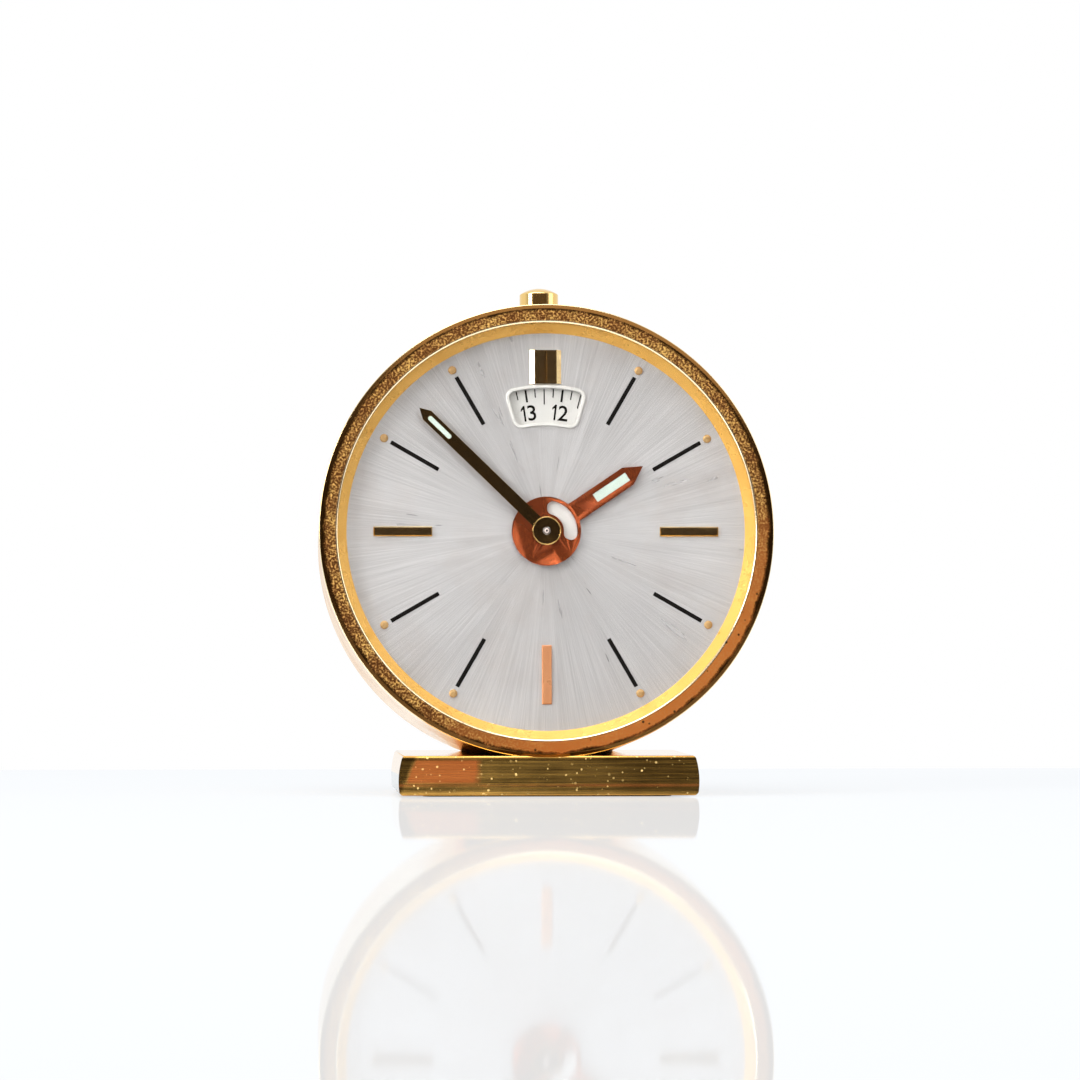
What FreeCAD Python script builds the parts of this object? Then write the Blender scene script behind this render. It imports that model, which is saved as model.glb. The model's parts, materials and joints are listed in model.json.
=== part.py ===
import FreeCAD, Part
import math
import os

V = FreeCAD.Vector

# A round alarm desk clock on a bar foot. The drum is drawn in its own frame:
# x to the right and z up as seen from the front, y back from the front of the bezel.
# It is then leaned back and set down in the cradle of the foot.
# All lengths are in millimetres and all angles in degrees.

# Clearances
RUN = 0.03            # shaft in its hole, radially
FIT = 0.02            # piece in its seat, radially
GAP = 0.2             # between neighbouring moving pieces, endways
OVERCUT = 1.0         # how far a cutting tool runs past a face

# Case
CASE_R = 32.5
CASE_WALL = 1.2
CASE_END = 28.0       # depth of the case's rear edge
CASE_EDGE = 0.4       # rounding of the rear edge
BEZEL_PROUD = 0.3     # how far the bezel stands out past the case, radially
BEZEL_FACE_W = 2.65   # width of the bezel's flat front
BEZEL_DEPTH = 3.0
BEZEL_SKIRT = 0.77    # wall of the bezel where it sleeves over the case
BEZEL_EDGE = 0.3
LIP = 0.36            # bezel lip in front of the crystal
CRYSTAL_THICK = 0.55
GASKET_WIDTH = 0.45
CRYSTAL_BEVEL = 0.1
GLASS_OVERLAP = 0.55  # how far the crystal reaches under the lip
RING_SLOPE_W = 1.35   # how far the sloping inner ring reaches in from the bezel's opening
DIAL_FRONT = 2.5
DIAL_THICK = 0.4
SHOULDER_W = 3.3      # ledge inside the case wall that carries dial and movement
REAR_LEDGE_W = 1.7    # ledge inside the case wall that the back cover lies on
REAR_LEDGE_THICK = 1.0
COVER_THICK = 1.2
COVER_INSET = 0.2     # between the cover's back and the case's rear edge
COVER_EDGE = 0.3
COVER_HOLE_CLEAR = 0.09
COVER_SCREW_ANGLES = (45, 135, 225, 315)
COVER_SCREW_IN = 0.9  # from the cover's rim to the middle of its screws
COVER_SCREW_R = 0.45
COVER_SCREW_HEAD_R = 0.75
COVER_SCREW_HEAD_H = 0.4

# Stand
LEAN = 4.0            # the drum's tilt backwards
BAR_TOP_W = 41.9
BAR_BOTTOM_W = 42.7
BAR_H = 5.7
BAR_DEPTH = 34.0
BAR_AHEAD = 5.0       # how far the bar stands out in front of the bezel
BAR_END_BULGE = 0.35
BAR_EDGE = 0.35
BAR_FOOT_EDGE = 0.8
SINK = 0.4            # how deep the bezel's lowest point lies in the cradle
PAD_W = 36.0
PAD_DEPTH = 28.0
PAD_THICK = 0.8
PAD_PROUD = 0.2
PAD_CORNER = 2.0
BASE_SCREW_R = 1.25
BASE_SCREW_HEAD_R = 2.6
BASE_SCREW_HEAD_H = 1.5
BASE_SCREW_HEAD_CLEAR = 0.1
BASE_SCREW_DEPTHS = (11.0, 17.0)
NUT_PLATE_THICK = 1.5
NUT_PLATE_HALF_ANGLE = 9.0
NUT_PLATE_MARGIN = 1.6

# Dial, hands and movement are laid out in units, 32.5 to the case's radius, so they grow with it
UNIT = CASE_R / 32.5

# Dial and what is applied to it
WINDOW_OUTER_R = 20.85 * UNIT
WINDOW_L = 5.05 * UNIT
WINDOW_HALF_ANGLE = 15.3
WINDOW_CORNER = 0.9
FRAME_WIDTH = 0.45
FRAME_H = 0.25
BATON_L = 8.5 * UNIT
BATON_W = 1.4
BATON_H = 0.3
BATON_MID_R = 20.7 * UNIT
BATON_BEVEL = 0.22
BATON_ANGLES = (90, 180, 270)
TWELVE_GAP = 0.15     # between the window's frame and the marker at 12
TWELVE_FROM_RING = 2.45   # from the marker at 12 to the sloping ring
TWELVE_W = 4.56
TWELVE_H = 0.4
TWELVE_BEVEL = 0.38
TWELVE_GROOVE_W = 0.25
TWELVE_GROOVE_H = 0.15
DOT_R = 0.6
DOT_H = 0.35
DOT_EDGE = 0.28
DOT_RING_R = 27.0 * UNIT
DOT_ANGLES = (30, 60, 120, 150, 210, 240, 300, 330)

# Hands, drawn pointing to 12 and then turned clockwise
MINUTE_ANGLE = 314.2
HOUR_ANGLE = 56.0
HAND_THICK = 0.25
MINUTE_L = 25.55 * UNIT
MINUTE_W = 1.75
MINUTE_HEAD_L = 1.55
MINUTE_HUB_R = 2.07
MINUTE_HUB_RIM = 0.45
MINUTE_HUB_H = 0.3
MINUTE_LUME_L = 4.4 * UNIT
MINUTE_LUME_W = 0.68
MINUTE_LUME_FROM_TIP = 1.9
HOUR_L = 16.9 * UNIT
HOUR_W = 2.95
HOUR_HEAD_L = 2.65
HOUR_DISC_R = 5.0
HOUR_LUME_L = 5.7 * UNIT
HOUR_LUME_W = 1.33
HOUR_LUME_FROM_TIP = 2.7
CRESCENT_MID_R = 3.5
CRESCENT_W = 1.95
CRESCENT_HALF_ANGLE = 48.0
CRESCENT_ROUND = 0.45  # corner radius as a share of the width
DAY_DISC_R = 4.6
DAY_DISC_THICK = 0.15

# The nest of pipes at the centre, from the inside out
CENTRE_ARBOR_R = 0.6
CENTRE_TIP_R = 0.48
PIPE_WALL = 0.4
MAIN_ARBOR_R = 0.9
STUD_R = 0.5

# Movement, depths from the bezel's front
MAIN_PLATE_FRONT = 7.5
MAIN_PLATE_THICK = 1.5
TRAIN_SPACE = 10.0
BACK_PLATE_THICK = 1.3
PLATE_MARGIN = 0.3    # plates stay this far inside the rear ledge's bore
PILLAR_R = 1.5
PILLAR_IN = 2.7       # from the plates' rim to the middle of a pillar
PILLAR_BORE_L = 2.0
PILLAR_ANGLES = (45, 125, 192, 280)
SHOULDER_SCREW_IN = 0.55
SHOULDER_SCREW_ANGLES = (20, 90, 160, 250)
SHOULDER_SKIN = 1.0   # left between the dial and the screw holes of the shoulder
SCREW_R = 0.35
SCREW_HEAD_R = 0.65
SCREW_HEAD_H = 0.5
SCREW_TIP_CLEAR = 0.1
STUD_OVER = 0.2       # how far a stud passes the piece that turns on it

# Teeth, as shares of the module and of the pitch
ADDENDUM = 0.75
DEDENDUM = 1.05
TIP_SHARE = 0.17
ROOT_SHARE = 0.52
PINION_OVER = 0.2     # how far a pinion is longer than the wheel it meshes with, at each end
WHEEL_RIM = 1.15      # between the openings and the tooth roots
WHEEL_CENTRE_R = 2.4  # metal left round a wheel's arbor
SPOKE_OPENING_HALF_ANGLE = 36.0
SPOKE_COUNT = 4
SPOKE_CORNER = 0.5

# Motion work under the dial
BRIDGE_R = 14.0 * UNIT
BRIDGE_THICK = 0.6
BRIDGE_POST_R = 1.2
BRIDGE_POST_IN = 1.8  # from the bridge's rim to the middle of a post
BRIDGE_POST_ANGLES = (20, 135, 250)
MOTION_MODULE = 0.3 * UNIT
CANNON_TEETH = 10
MINUTE_WHEEL_TEETH = 30
MINUTE_PINION_TEETH = 8
HOUR_TEETH = 32
SET_TEETH = 12
MINUTE_WHEEL_AT = 283.0
IDLER_AT = 103.0
IDLER_MODULE = 0.36 * UNIT
IDLER_TEETH = 16
HOUR_PINION_TEETH = 16
DAY_PINION_TEETH = 12
DAY_TEETH = 24
MOTION_WHEEL_THICK = 0.4
MOTION_LEVEL_STEP = 0.65
MOTION_START = 0.3    # from the bridge to the first wheel
MOTION_PINION_OVER = 0.1

# Going train
BARREL_MODULE = 0.25 * UNIT
BARREL_TEETH = 96
CENTRE_PINION_TEETH = 8
BARREL_AT = 215.0
BARREL_START = 1.3    # behind the main plate
BARREL_H = 5.4
BARREL_WALL = 0.8
BARREL_RIM_H = 0.9
BARREL_DRUM_R = 11.4 * UNIT
CENTRE_MODULE = 0.2 * UNIT
CENTRE_TEETH = 80
THIRD_PINION_TEETH = 10
THIRD_AT = 60.0
THIRD_TEETH = 75
FOURTH_PINION_TEETH = 10
FOURTH_AT = 340.0
FOURTH_MODULE = 0.18 * UNIT
FOURTH_TEETH = 80
ESCAPE_PINION_TEETH = 8
ESCAPE_AT = 290.0
TRAIN_WHEEL_THICK = 0.4
TRAIN_ARBOR_R = 0.4
CENTRE_HUB_WALL = 0.8
CENTRE_HUB_H = 0.5
CENTRE_WHEEL_BACK = 1.6    # ahead of the back plate
THIRD_WHEEL_BACK = 5.6
FOURTH_WHEEL_BACK = 7.5

# Escapement and balance, behind the back plate
ESCAPE_R = 3.6 * UNIT
ESCAPE_TEETH = 15
ESCAPE_ROOT_R = 2.9 * UNIT
ESCAPE_THICK = 0.3
ESCAPE_LIFT = 0.4
PALLET_DISTANCE = 5.1 * UNIT
PALLET_AT = 250.0
PALLET_CLEAR = 0.35   # between the pallets' bar and the escape wheel
PALLET_BAR_W = 0.55
PALLET_REACH = 3.25 * UNIT
PALLET_STONE_W = 0.4
PALLET_STONE_L = 1.15 * UNIT
PALLET_HUB_R = 0.95
PALLET_STUD_H = 1.4
BALANCE_DISTANCE = 5.0 * UNIT
BALANCE_R = 6.0 * UNIT
BALANCE_RIM = 0.9
BALANCE_THICK = 0.6
BALANCE_LIFT = 2.0
BALANCE_ARM_W = 0.8
STAFF_R = 0.35
ROLLER_R = 1.4
ROLLER_THICK = 0.25
ROLLER_GAP = 0.3      # between the roller and the balance
IMPULSE_PIN_R = 0.2
IMPULSE_PIN_OUT = 1.0
COCK_LIFT = 3.9
COCK_THICK = 0.9
COCK_W = 4.4
COCK_REACH = 9.0 * UNIT
HAIRSPRING_WIRE = 0.12
HAIRSPRING_PITCH = 0.5
HAIRSPRING_START = 0.15   # outside the staff
HAIRSPRING_LIFT = 0.5     # behind the balance
HAIRSPRING_TURNS = 5
HAIRSPRING_H = 0.2

# Winding
WINDING_ARBOR_R = 1.2
RATCHET_R = 4.5
RATCHET_ROOT_R = 3.9
RATCHET_TEETH = 24
RATCHET_THICK = 0.7
CLICK_PIVOT = (4.2, 6.2)
CLICK_HUB_R = 1.0
CLICK_STUD_H = 1.3
BEAK_LIFT = 0.17      # beak's tip over the ratchet's tooth roots
BEAK_INSET = 0.06     # beak's face beside the tooth that holds against it
BEAK_H = 0.9
BEAK_L = 1.4
BEAK_RISE = 0.58
KEY_HUB_R = 2.5
KEY_HUB_L = 4.0
KEY_STAND_OFF = 0.7
KEY_WING_SPAN = 15.0
KEY_WING_THICK = 1.5
KEY_WING_L = 6.5
KEY_WING_FROM = 1.6   # from the hub's front to the wings
KEY_WING_CORNER = 2.73
MAINSPRING_THICK = 0.25
MAINSPRING_PITCH = 1.0
MAINSPRING_START = 0.5    # outside the arbor
SPRING_END_GAP = 0.1

# Alarm
ALARM_DISC_THICK = 0.3
ALARM_MODULE = 0.37 * UNIT
ALARM_DISC_TEETH = 120
ALARM_SET_TEETH = 12
ALARM_SET_AT = 340.0
ALARM_SET_ARBOR_R = 0.8
ALARM_SET_PINION_OVER = 0.1
HAND_SET_ARBOR_R = 0.8
KNOB_R = 3.4
KNOB_L = 3.4
KNOB_FLUTES = 18
KNOB_FLUTE_R = 0.28
KNOB_BEVEL = 0.35
ALARM_BARREL_AT = 140.0
ALARM_BARREL_DISTANCE = 17.7 * UNIT
ALARM_BARREL_H = 4.6
ALARM_TRAIN_MODULE = 0.3 * UNIT
ALARM_BARREL_TEETH = 42
ALARM_BARREL_DRUM_R = 5.3 * UNIT
ALARM_SPRING_THICK = 0.2
ALARM_SPRING_PITCH = 0.8
ALARM_SPRING_START = 0.4
ALARM_PINION_TEETH = 8
ALARM_PINION_OVER = 0.1
ALARM_WHEEL_AT = 45.0
ALARM_WHEEL_R = 4.4 * UNIT
ALARM_WHEEL_ROOT_R = 3.7 * UNIT
ALARM_WHEEL_TEETH = 20
ALARM_WHEEL_THICK = 0.5
ALARM_WHEEL_GAP = 0.8     # behind the alarm barrel
HAMMER_DISTANCE = 9.7 * UNIT
HAMMER_HEAD = (6.0 * UNIT, 7.7 * UNIT)
HAMMER_HEAD_R = 1.8
HAMMER_HEAD_H = 3.0
HAMMER_HEAD_AHEAD = 1.2   # head's front before its arm's
HAMMER_ARM_W = 1.0
HAMMER_ARM_THICK = 0.6
HAMMER_TAIL_L = 4.9 * UNIT
HAMMER_TAIL_W = 0.8
HAMMER_COLLAR_R = 1.2
HAMMER_COLLAR_OVER = 0.5
GONG_AT = 27.0        # direction of the gong pin, seen from the hammer's arbor
GONG_R = 0.9
GONG_END_GAP = 0.3

# Alarm button on top of the drum
BUTTON_AT = 17.7      # depth of its axis
BUTTON_R = 2.85
BUTTON_PROUD = 4.85   # height of its crown above the case
BUTTON_CROWN = 0.9
BUTTON_L = 7.45
BUTTON_STEM_R = 0.8
BUTTON_STEM_L = 5.7
BUSH_WALL = 0.5
BUSH_DEPTH = 6.1      # how far the bush reaches in from the case's top
BUSH_FLOOR = 0.6
SPRING_MEAN_R = 1.7
SPRING_WIRE_R = 0.15
SPRING_TURNS = 4
SPRING_STEPS = 12     # points on each turn that the wire's line passes through

# Sizes that follow
BEZEL_R = CASE_R + BEZEL_PROUD
BEZEL_OPENING_R = BEZEL_R - BEZEL_FACE_W
DIAL_SIGHT_R = BEZEL_OPENING_R - RING_SLOPE_W
CRYSTAL_R = BEZEL_OPENING_R + GLASS_OVERLAP
GASKET_R = CRYSTAL_R + FIT + GASKET_WIDTH
CRYSTAL_BACK = LIP + CRYSTAL_THICK
CASE_BORE_R = CASE_R - CASE_WALL
SHOULDER_R = CASE_BORE_R - SHOULDER_W
REAR_LEDGE_R = CASE_BORE_R - REAR_LEDGE_W
COVER_SCREW_RING_R = CASE_BORE_R - COVER_SCREW_IN
SLEEVE_R = BEZEL_R - BEZEL_SKIRT - FIT
DIAL_BACK = DIAL_FRONT + DIAL_THICK
WINDOW_INNER_R = WINDOW_OUTER_R - WINDOW_L
TWELVE_INNER_R = WINDOW_OUTER_R + FRAME_WIDTH + TWELVE_GAP
TWELVE_OUTER_R = DIAL_SIGHT_R - TWELVE_FROM_RING
COVER_FRONT = CASE_END - COVER_INSET - COVER_THICK
LEDGE_FRONT = COVER_FRONT - REAR_LEDGE_THICK
COVER_R = CASE_BORE_R - FIT
COVER_BACK = COVER_FRONT + COVER_THICK
MAIN_PLATE_BACK = MAIN_PLATE_FRONT + MAIN_PLATE_THICK
BACK_PLATE_FRONT = MAIN_PLATE_BACK + TRAIN_SPACE
BACK_PLATE_BACK = BACK_PLATE_FRONT + BACK_PLATE_THICK
PLATE_R = REAR_LEDGE_R - PLATE_MARGIN
PILLAR_RING_R = PLATE_R - PILLAR_IN
SHOULDER_SCREW_RING_R = PLATE_R - SHOULDER_SCREW_IN
BRIDGE_POST_RING_R = BRIDGE_R - BRIDGE_POST_IN
BUTTON_TOP = CASE_R + BUTTON_PROUD
BUTTON_FOOT = BUTTON_TOP - BUTTON_L
BUTTON_STEM_END = BUTTON_FOOT - BUTTON_STEM_L
BUSH_END = CASE_R - BUSH_DEPTH
BAR_TOP = PAD_PROUD + BAR_H
AXIS_HEIGHT = BAR_TOP + BEZEL_R * math.cos(math.radians(LEAN)) - SINK
CANNON_R = CENTRE_ARBOR_R + FIT + PIPE_WALL
HOUR_PIPE_BORE_R = CANNON_R + RUN
HOUR_PIPE_R = HOUR_PIPE_BORE_R + PIPE_WALL
DAY_PIPE_BORE_R = HOUR_PIPE_R + RUN
DAY_PIPE_R = DAY_PIPE_BORE_R + PIPE_WALL
BUSH_BORE_R = DAY_PIPE_R + RUN
DISC_BUSH_R = BUSH_BORE_R + PIPE_WALL
DAY_DISC_FRONT = DIAL_FRONT - GAP - DAY_DISC_THICK
HOUR_FRONT = DAY_DISC_FRONT - GAP - HAND_THICK
MINUTE_FRONT = HOUR_FRONT - GAP - HAND_THICK
ALARM_DISC_FRONT = DIAL_BACK + GAP
BRIDGE_FRONT = ALARM_DISC_FRONT + ALARM_DISC_THICK + GAP
BRIDGE_BACK = BRIDGE_FRONT + BRIDGE_THICK
DAY_LEVEL = BRIDGE_BACK + MOTION_START
HOUR_PINION_LEVEL = DAY_LEVEL + MOTION_LEVEL_STEP
HOUR_LEVEL = HOUR_PINION_LEVEL + MOTION_LEVEL_STEP
MINUTE_LEVEL = HOUR_LEVEL + MOTION_LEVEL_STEP


def polar(distance, angle, start=(0.0, 0.0)):
    """Point at a distance and an angle, counter-clockwise from 3 o'clock, from a start point."""
    turn = math.radians(angle)
    return (start[0] + distance * math.cos(turn), start[1] + distance * math.sin(turn))


def mesh_distance(module, teeth, other_teeth):
    return module * (teeth + other_teeth) / 2


DAY_MODULE = IDLER_MODULE * (HOUR_PINION_TEETH + IDLER_TEETH) / (DAY_PINION_TEETH + DAY_TEETH)
CENTRE = (0.0, 0.0)
MINUTE_WHEEL = polar(mesh_distance(MOTION_MODULE, CANNON_TEETH, MINUTE_WHEEL_TEETH), MINUTE_WHEEL_AT)
HAND_SET = polar(mesh_distance(MOTION_MODULE, MINUTE_WHEEL_TEETH, SET_TEETH), MINUTE_WHEEL_AT,
                 MINUTE_WHEEL)
IDLER = polar(mesh_distance(IDLER_MODULE, HOUR_PINION_TEETH, IDLER_TEETH), IDLER_AT)
BARREL = polar(mesh_distance(BARREL_MODULE, BARREL_TEETH, CENTRE_PINION_TEETH), BARREL_AT)
THIRD = polar(mesh_distance(CENTRE_MODULE, CENTRE_TEETH, THIRD_PINION_TEETH), THIRD_AT)
FOURTH = polar(mesh_distance(CENTRE_MODULE, THIRD_TEETH, FOURTH_PINION_TEETH), FOURTH_AT, THIRD)
ESCAPE = polar(mesh_distance(FOURTH_MODULE, FOURTH_TEETH, ESCAPE_PINION_TEETH), ESCAPE_AT, FOURTH)
PALLET = polar(PALLET_DISTANCE, PALLET_AT, ESCAPE)
BALANCE = polar(BALANCE_DISTANCE, PALLET_AT, PALLET)
COCK_FOOT = polar(COCK_REACH, PALLET_AT, BALANCE)
ALARM_SET = polar(mesh_distance(ALARM_MODULE, ALARM_DISC_TEETH, ALARM_SET_TEETH), ALARM_SET_AT)
ALARM_BARREL = polar(ALARM_BARREL_DISTANCE, ALARM_BARREL_AT)
ALARM_WHEEL = polar(mesh_distance(ALARM_TRAIN_MODULE, ALARM_BARREL_TEETH, ALARM_PINION_TEETH),
                    ALARM_WHEEL_AT, ALARM_BARREL)
HAMMER = polar(HAMMER_DISTANCE, 0, ALARM_WHEEL)
GONG = polar(math.hypot(*HAMMER_HEAD), GONG_AT, HAMMER)


def tube(outer_r, bore_r, front, back, at=CENTRE):
    """Disc or ring about an axis along y, between two depths."""
    solid = Part.makeCylinder(outer_r, back - front, V(at[0], front, at[1]), V(0, 1, 0))
    if bore_r > 0:
        solid = solid.cut(hole(bore_r, front, back, at))
    return solid


def hole(radius, front, back, at=CENTRE):
    """Cutting tool for a round hole along y."""
    start = V(at[0], front - OVERCUT, at[1])
    return Part.makeCylinder(radius, back - front + 2 * OVERCUT, start, V(0, 1, 0))


def turned(outline):
    """Solid of revolution about the drum's axis, from (radius, depth) corners."""
    points = [V(radius, depth, 0) for radius, depth in outline]
    face = Part.Face(Part.makePolygon(points + points[:1]))
    return face.revolve(V(0, 0, 0), V(0, 1, 0), 360)


def plate(outline, front, back, at=CENTRE):
    """Flat piece of a straight-sided outline in x and z, between two depths."""
    points = [V(at[0] + x, front, at[1] + z) for x, z in outline]
    return Part.Face(Part.makePolygon(points + points[:1])).extrude(V(0, back - front, 0))


def rectangle(left, right, low, high, front, back, at=CENTRE):
    return plate([(left, low), (right, low), (right, high), (left, high)], front, back, at)


def clockwise(shape, angle, at=CENTRE):
    """Turn a shape clockwise, as seen from the front, about an axis along y."""
    turned_shape = shape.copy()
    turned_shape.rotate(V(at[0], 0, at[1]), V(0, 1, 0), angle)
    return turned_shape


def round_edges(shape, radius, chosen):
    """Fillet the edges that a test on an edge picks out."""
    return shape.makeFillet(radius, [edge for edge in shape.Edges if chosen(edge)])


def circle_at(edge, radius, depth):
    """Whether an edge is a circle about the y direction of this radius, at this depth."""
    curve = edge.Curve
    if not isinstance(curve, Part.Circle):
        return False
    return abs(curve.Radius - radius) < 1e-4 and abs(curve.Center.y - depth) < 1e-4


def union(first, *others):
    return first.fuse(list(others)).removeSplitter()


def toothed(points_per_tooth, front, back, bore_r, at):
    """Wheel of a closed outline of (radius, angle) points with a bore."""
    outline = [polar(radius, angle) for radius, angle in points_per_tooth]
    body = plate(outline, front, back, at)
    if bore_r > 0:
        body = body.cut(hole(bore_r, front, back, at))
    return body


def gear(teeth, module, front, back, bore_r, phase, at=CENTRE):
    """Spur gear with one tooth centred on the phase angle."""
    pitch = 360.0 / teeth
    tip_r = module * (teeth / 2 + ADDENDUM)
    root_r = module * (teeth / 2 - DEDENDUM)
    points = []
    for tooth in range(teeth):
        middle = phase + tooth * pitch
        points.append((root_r, middle - pitch * ROOT_SHARE / 2))
        points.append((tip_r, middle - pitch * TIP_SHARE / 2))
        points.append((tip_r, middle + pitch * TIP_SHARE / 2))
        points.append((root_r, middle + pitch * ROOT_SHARE / 2))
    return toothed(points, front, back, bore_r, at)


def saw_wheel(teeth, tip_r, root_r, front, back, bore_r, phase, at=CENTRE):
    """Ratchet-like wheel: each tooth has a radial face on its clockwise side."""
    pitch = 360.0 / teeth
    points = []
    for tooth in range(teeth):
        angle = phase + tooth * pitch
        points.append((root_r, angle))
        points.append((tip_r, angle + pitch * 0.01))
    return toothed(points, front, back, bore_r, at)


def angle_from(start, end):
    return math.degrees(math.atan2(end[1] - start[1], end[0] - start[0]))


def meshing_phase(teeth, phase, at, other_teeth, other_at):
    """Phase of a second gear that puts its gap where the first gear has a tooth."""
    line = angle_from(at, other_at)
    pitches = (phase - line) / (360.0 / teeth)
    offset = pitches - round(pitches)
    other_pitch = 360.0 / other_teeth
    return line + 180 - offset * other_pitch + other_pitch / 2


def sector(inner_r, outer_r, half_angle, front, back, corner):
    """Ring sector centred on 12 with rounded corners."""
    def at_angle(radius, angle):
        x, z = polar(radius, 90 + angle)
        return V(x, front, z)

    outer = Part.Arc(at_angle(outer_r, half_angle), at_angle(outer_r, 0),
                     at_angle(outer_r, -half_angle)).toShape()
    inner = Part.Arc(at_angle(inner_r, -half_angle), at_angle(inner_r, 0),
                     at_angle(inner_r, half_angle)).toShape()
    right = Part.makeLine(at_angle(outer_r, -half_angle), at_angle(inner_r, -half_angle))
    left = Part.makeLine(at_angle(inner_r, half_angle), at_angle(outer_r, half_angle))
    solid = Part.Face(Part.Wire([outer, right, inner, left])).extrude(V(0, back - front, 0))
    if corner > 0:
        solid = round_edges(solid, corner, lambda edge: abs(edge.tangentAt(edge.FirstParameter).y) > 0.99)
    return solid


def band_spiral(inner_r, pitch, turns, thickness, front, back, at):
    """Flat spiral spring made of half circles about two centres."""
    step = pitch / 2

    def half_circle(index, extra):
        radius = inner_r + index * step + extra
        centre = at[0] + (step if index % 2 else 0)
        side = -1 if index % 2 else 1
        start = V(centre + side * radius, front, at[1])
        middle = V(centre, front, at[1] + side * radius)
        end = V(centre - side * radius, front, at[1])
        return Part.Arc(start, middle, end).toShape(), start, end

    halves = 2 * turns
    inner = [half_circle(index, 0) for index in range(halves)]
    outer = [half_circle(index, thickness) for index in range(halves)]
    edges = [item[0] for item in inner + outer]
    edges.append(Part.makeLine(inner[0][1], outer[0][1]))
    edges.append(Part.makeLine(inner[-1][2], outer[-1][2]))
    wire = Part.Wire(Part.__sortEdges__(edges))
    return Part.Face(wire).extrude(V(0, back - front, 0))


def screw(at, front, back, radius, head_r, head_h):
    """Plain screw: its head lies behind the back depth."""
    return union(tube(radius, 0, front, back, at), tube(head_r, 0, back, back + head_h, at))


# Case

def bezel():
    body = turned([
        (BEZEL_OPENING_R, 0), (BEZEL_R, 0), (BEZEL_R, BEZEL_DEPTH), (SLEEVE_R + FIT, BEZEL_DEPTH),
        (SLEEVE_R + FIT, CRYSTAL_BACK), (GASKET_R + FIT, CRYSTAL_BACK),
        (GASKET_R + FIT, LIP), (BEZEL_OPENING_R, LIP)])
    return round_edges(body, BEZEL_EDGE, lambda edge: circle_at(edge, BEZEL_R, 0))


def case_drum():
    front = CRYSTAL_BACK + FIT
    body = turned([
        (CASE_BORE_R, front), (SLEEVE_R, front), (SLEEVE_R, BEZEL_DEPTH + FIT),
        (CASE_R, BEZEL_DEPTH + FIT), (CASE_R, CASE_END), (CASE_BORE_R, CASE_END),
        (CASE_BORE_R, COVER_FRONT), (REAR_LEDGE_R, COVER_FRONT), (REAR_LEDGE_R, LEDGE_FRONT),
        (CASE_BORE_R, LEDGE_FRONT), (CASE_BORE_R, MAIN_PLATE_FRONT),
        (SHOULDER_R, MAIN_PLATE_FRONT), (SHOULDER_R, DIAL_BACK), (CASE_BORE_R, DIAL_BACK)])
    body = round_edges(body, CASE_EDGE, lambda edge: circle_at(edge, CASE_R, CASE_END))
    body = body.fuse(nut_plate()).removeSplitter()
    body = body.cut(button_well(BUTTON_R + RUN + BUSH_WALL + FIT, CASE_BORE_R - OVERCUT,
                                CASE_R + OVERCUT))
    for depth in BASE_SCREW_DEPTHS:
        body = body.cut(base_screw_shank(depth, BASE_SCREW_R + FIT, NUT_PLATE_THICK + OVERCUT))
    for angle in SHOULDER_SCREW_ANGLES:
        at = polar(SHOULDER_SCREW_RING_R, angle)
        body = body.cut(tube(SCREW_R + FIT, 0, DIAL_BACK + SHOULDER_SKIN, MAIN_PLATE_FRONT + OVERCUT, at))
    for angle in COVER_SCREW_ANGLES:
        at = polar(COVER_SCREW_RING_R, angle)
        body = body.cut(hole(COVER_SCREW_R + FIT, LEDGE_FRONT, COVER_FRONT, at))
    return body


def nut_plate():
    """Thick strip inside the bottom of the case that takes the base screws."""
    front = min(BASE_SCREW_DEPTHS) - NUT_PLATE_MARGIN
    back = max(BASE_SCREW_DEPTHS) + NUT_PLATE_MARGIN
    strip = sector(CASE_BORE_R - NUT_PLATE_THICK, CASE_R - CASE_WALL / 2, NUT_PLATE_HALF_ANGLE,
                   front, back, 0)
    return clockwise(strip, 180)


def rehaut_ring():
    front = CRYSTAL_BACK + FIT
    return turned([
        (BEZEL_OPENING_R - FIT, front), (CASE_BORE_R - FIT, front),
        (CASE_BORE_R - FIT, DIAL_FRONT), (DIAL_SIGHT_R, DIAL_FRONT)])


def crystal():
    body = tube(CRYSTAL_R, 0, LIP, CRYSTAL_BACK)
    rim = [edge for edge in body.Edges if circle_at(edge, CRYSTAL_R, LIP)]
    return body.makeChamfer(CRYSTAL_BEVEL, rim)


def crystal_gasket():
    return tube(GASKET_R, CRYSTAL_R + FIT, LIP, CRYSTAL_BACK)


def back_cover():
    body = tube(COVER_R, 0, COVER_FRONT, COVER_BACK)
    body = round_edges(body, COVER_EDGE, lambda edge: circle_at(edge, COVER_R, COVER_BACK))
    for at, radius in ((BARREL, WINDING_ARBOR_R), (ALARM_BARREL, WINDING_ARBOR_R),
                       (HAND_SET, HAND_SET_ARBOR_R), (ALARM_SET, ALARM_SET_ARBOR_R)):
        body = body.cut(hole(radius + COVER_HOLE_CLEAR, COVER_FRONT, COVER_BACK, at))
    for angle in COVER_SCREW_ANGLES:
        at = polar(COVER_SCREW_RING_R, angle)
        body = body.cut(hole(COVER_SCREW_R + FIT, COVER_FRONT, COVER_BACK, at))
    return body


def back_cover_screws():
    return [screw(polar(COVER_SCREW_RING_R, angle), LEDGE_FRONT, COVER_BACK, COVER_SCREW_R,
                  COVER_SCREW_HEAD_R, COVER_SCREW_HEAD_H) for angle in COVER_SCREW_ANGLES]


# Button

def button_well(radius, bottom, top):
    """Cylinder on the button's axis, which points out of the top of the drum."""
    return Part.makeCylinder(radius, top - bottom, V(0, BUTTON_AT, bottom), V(0, 0, 1))


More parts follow.
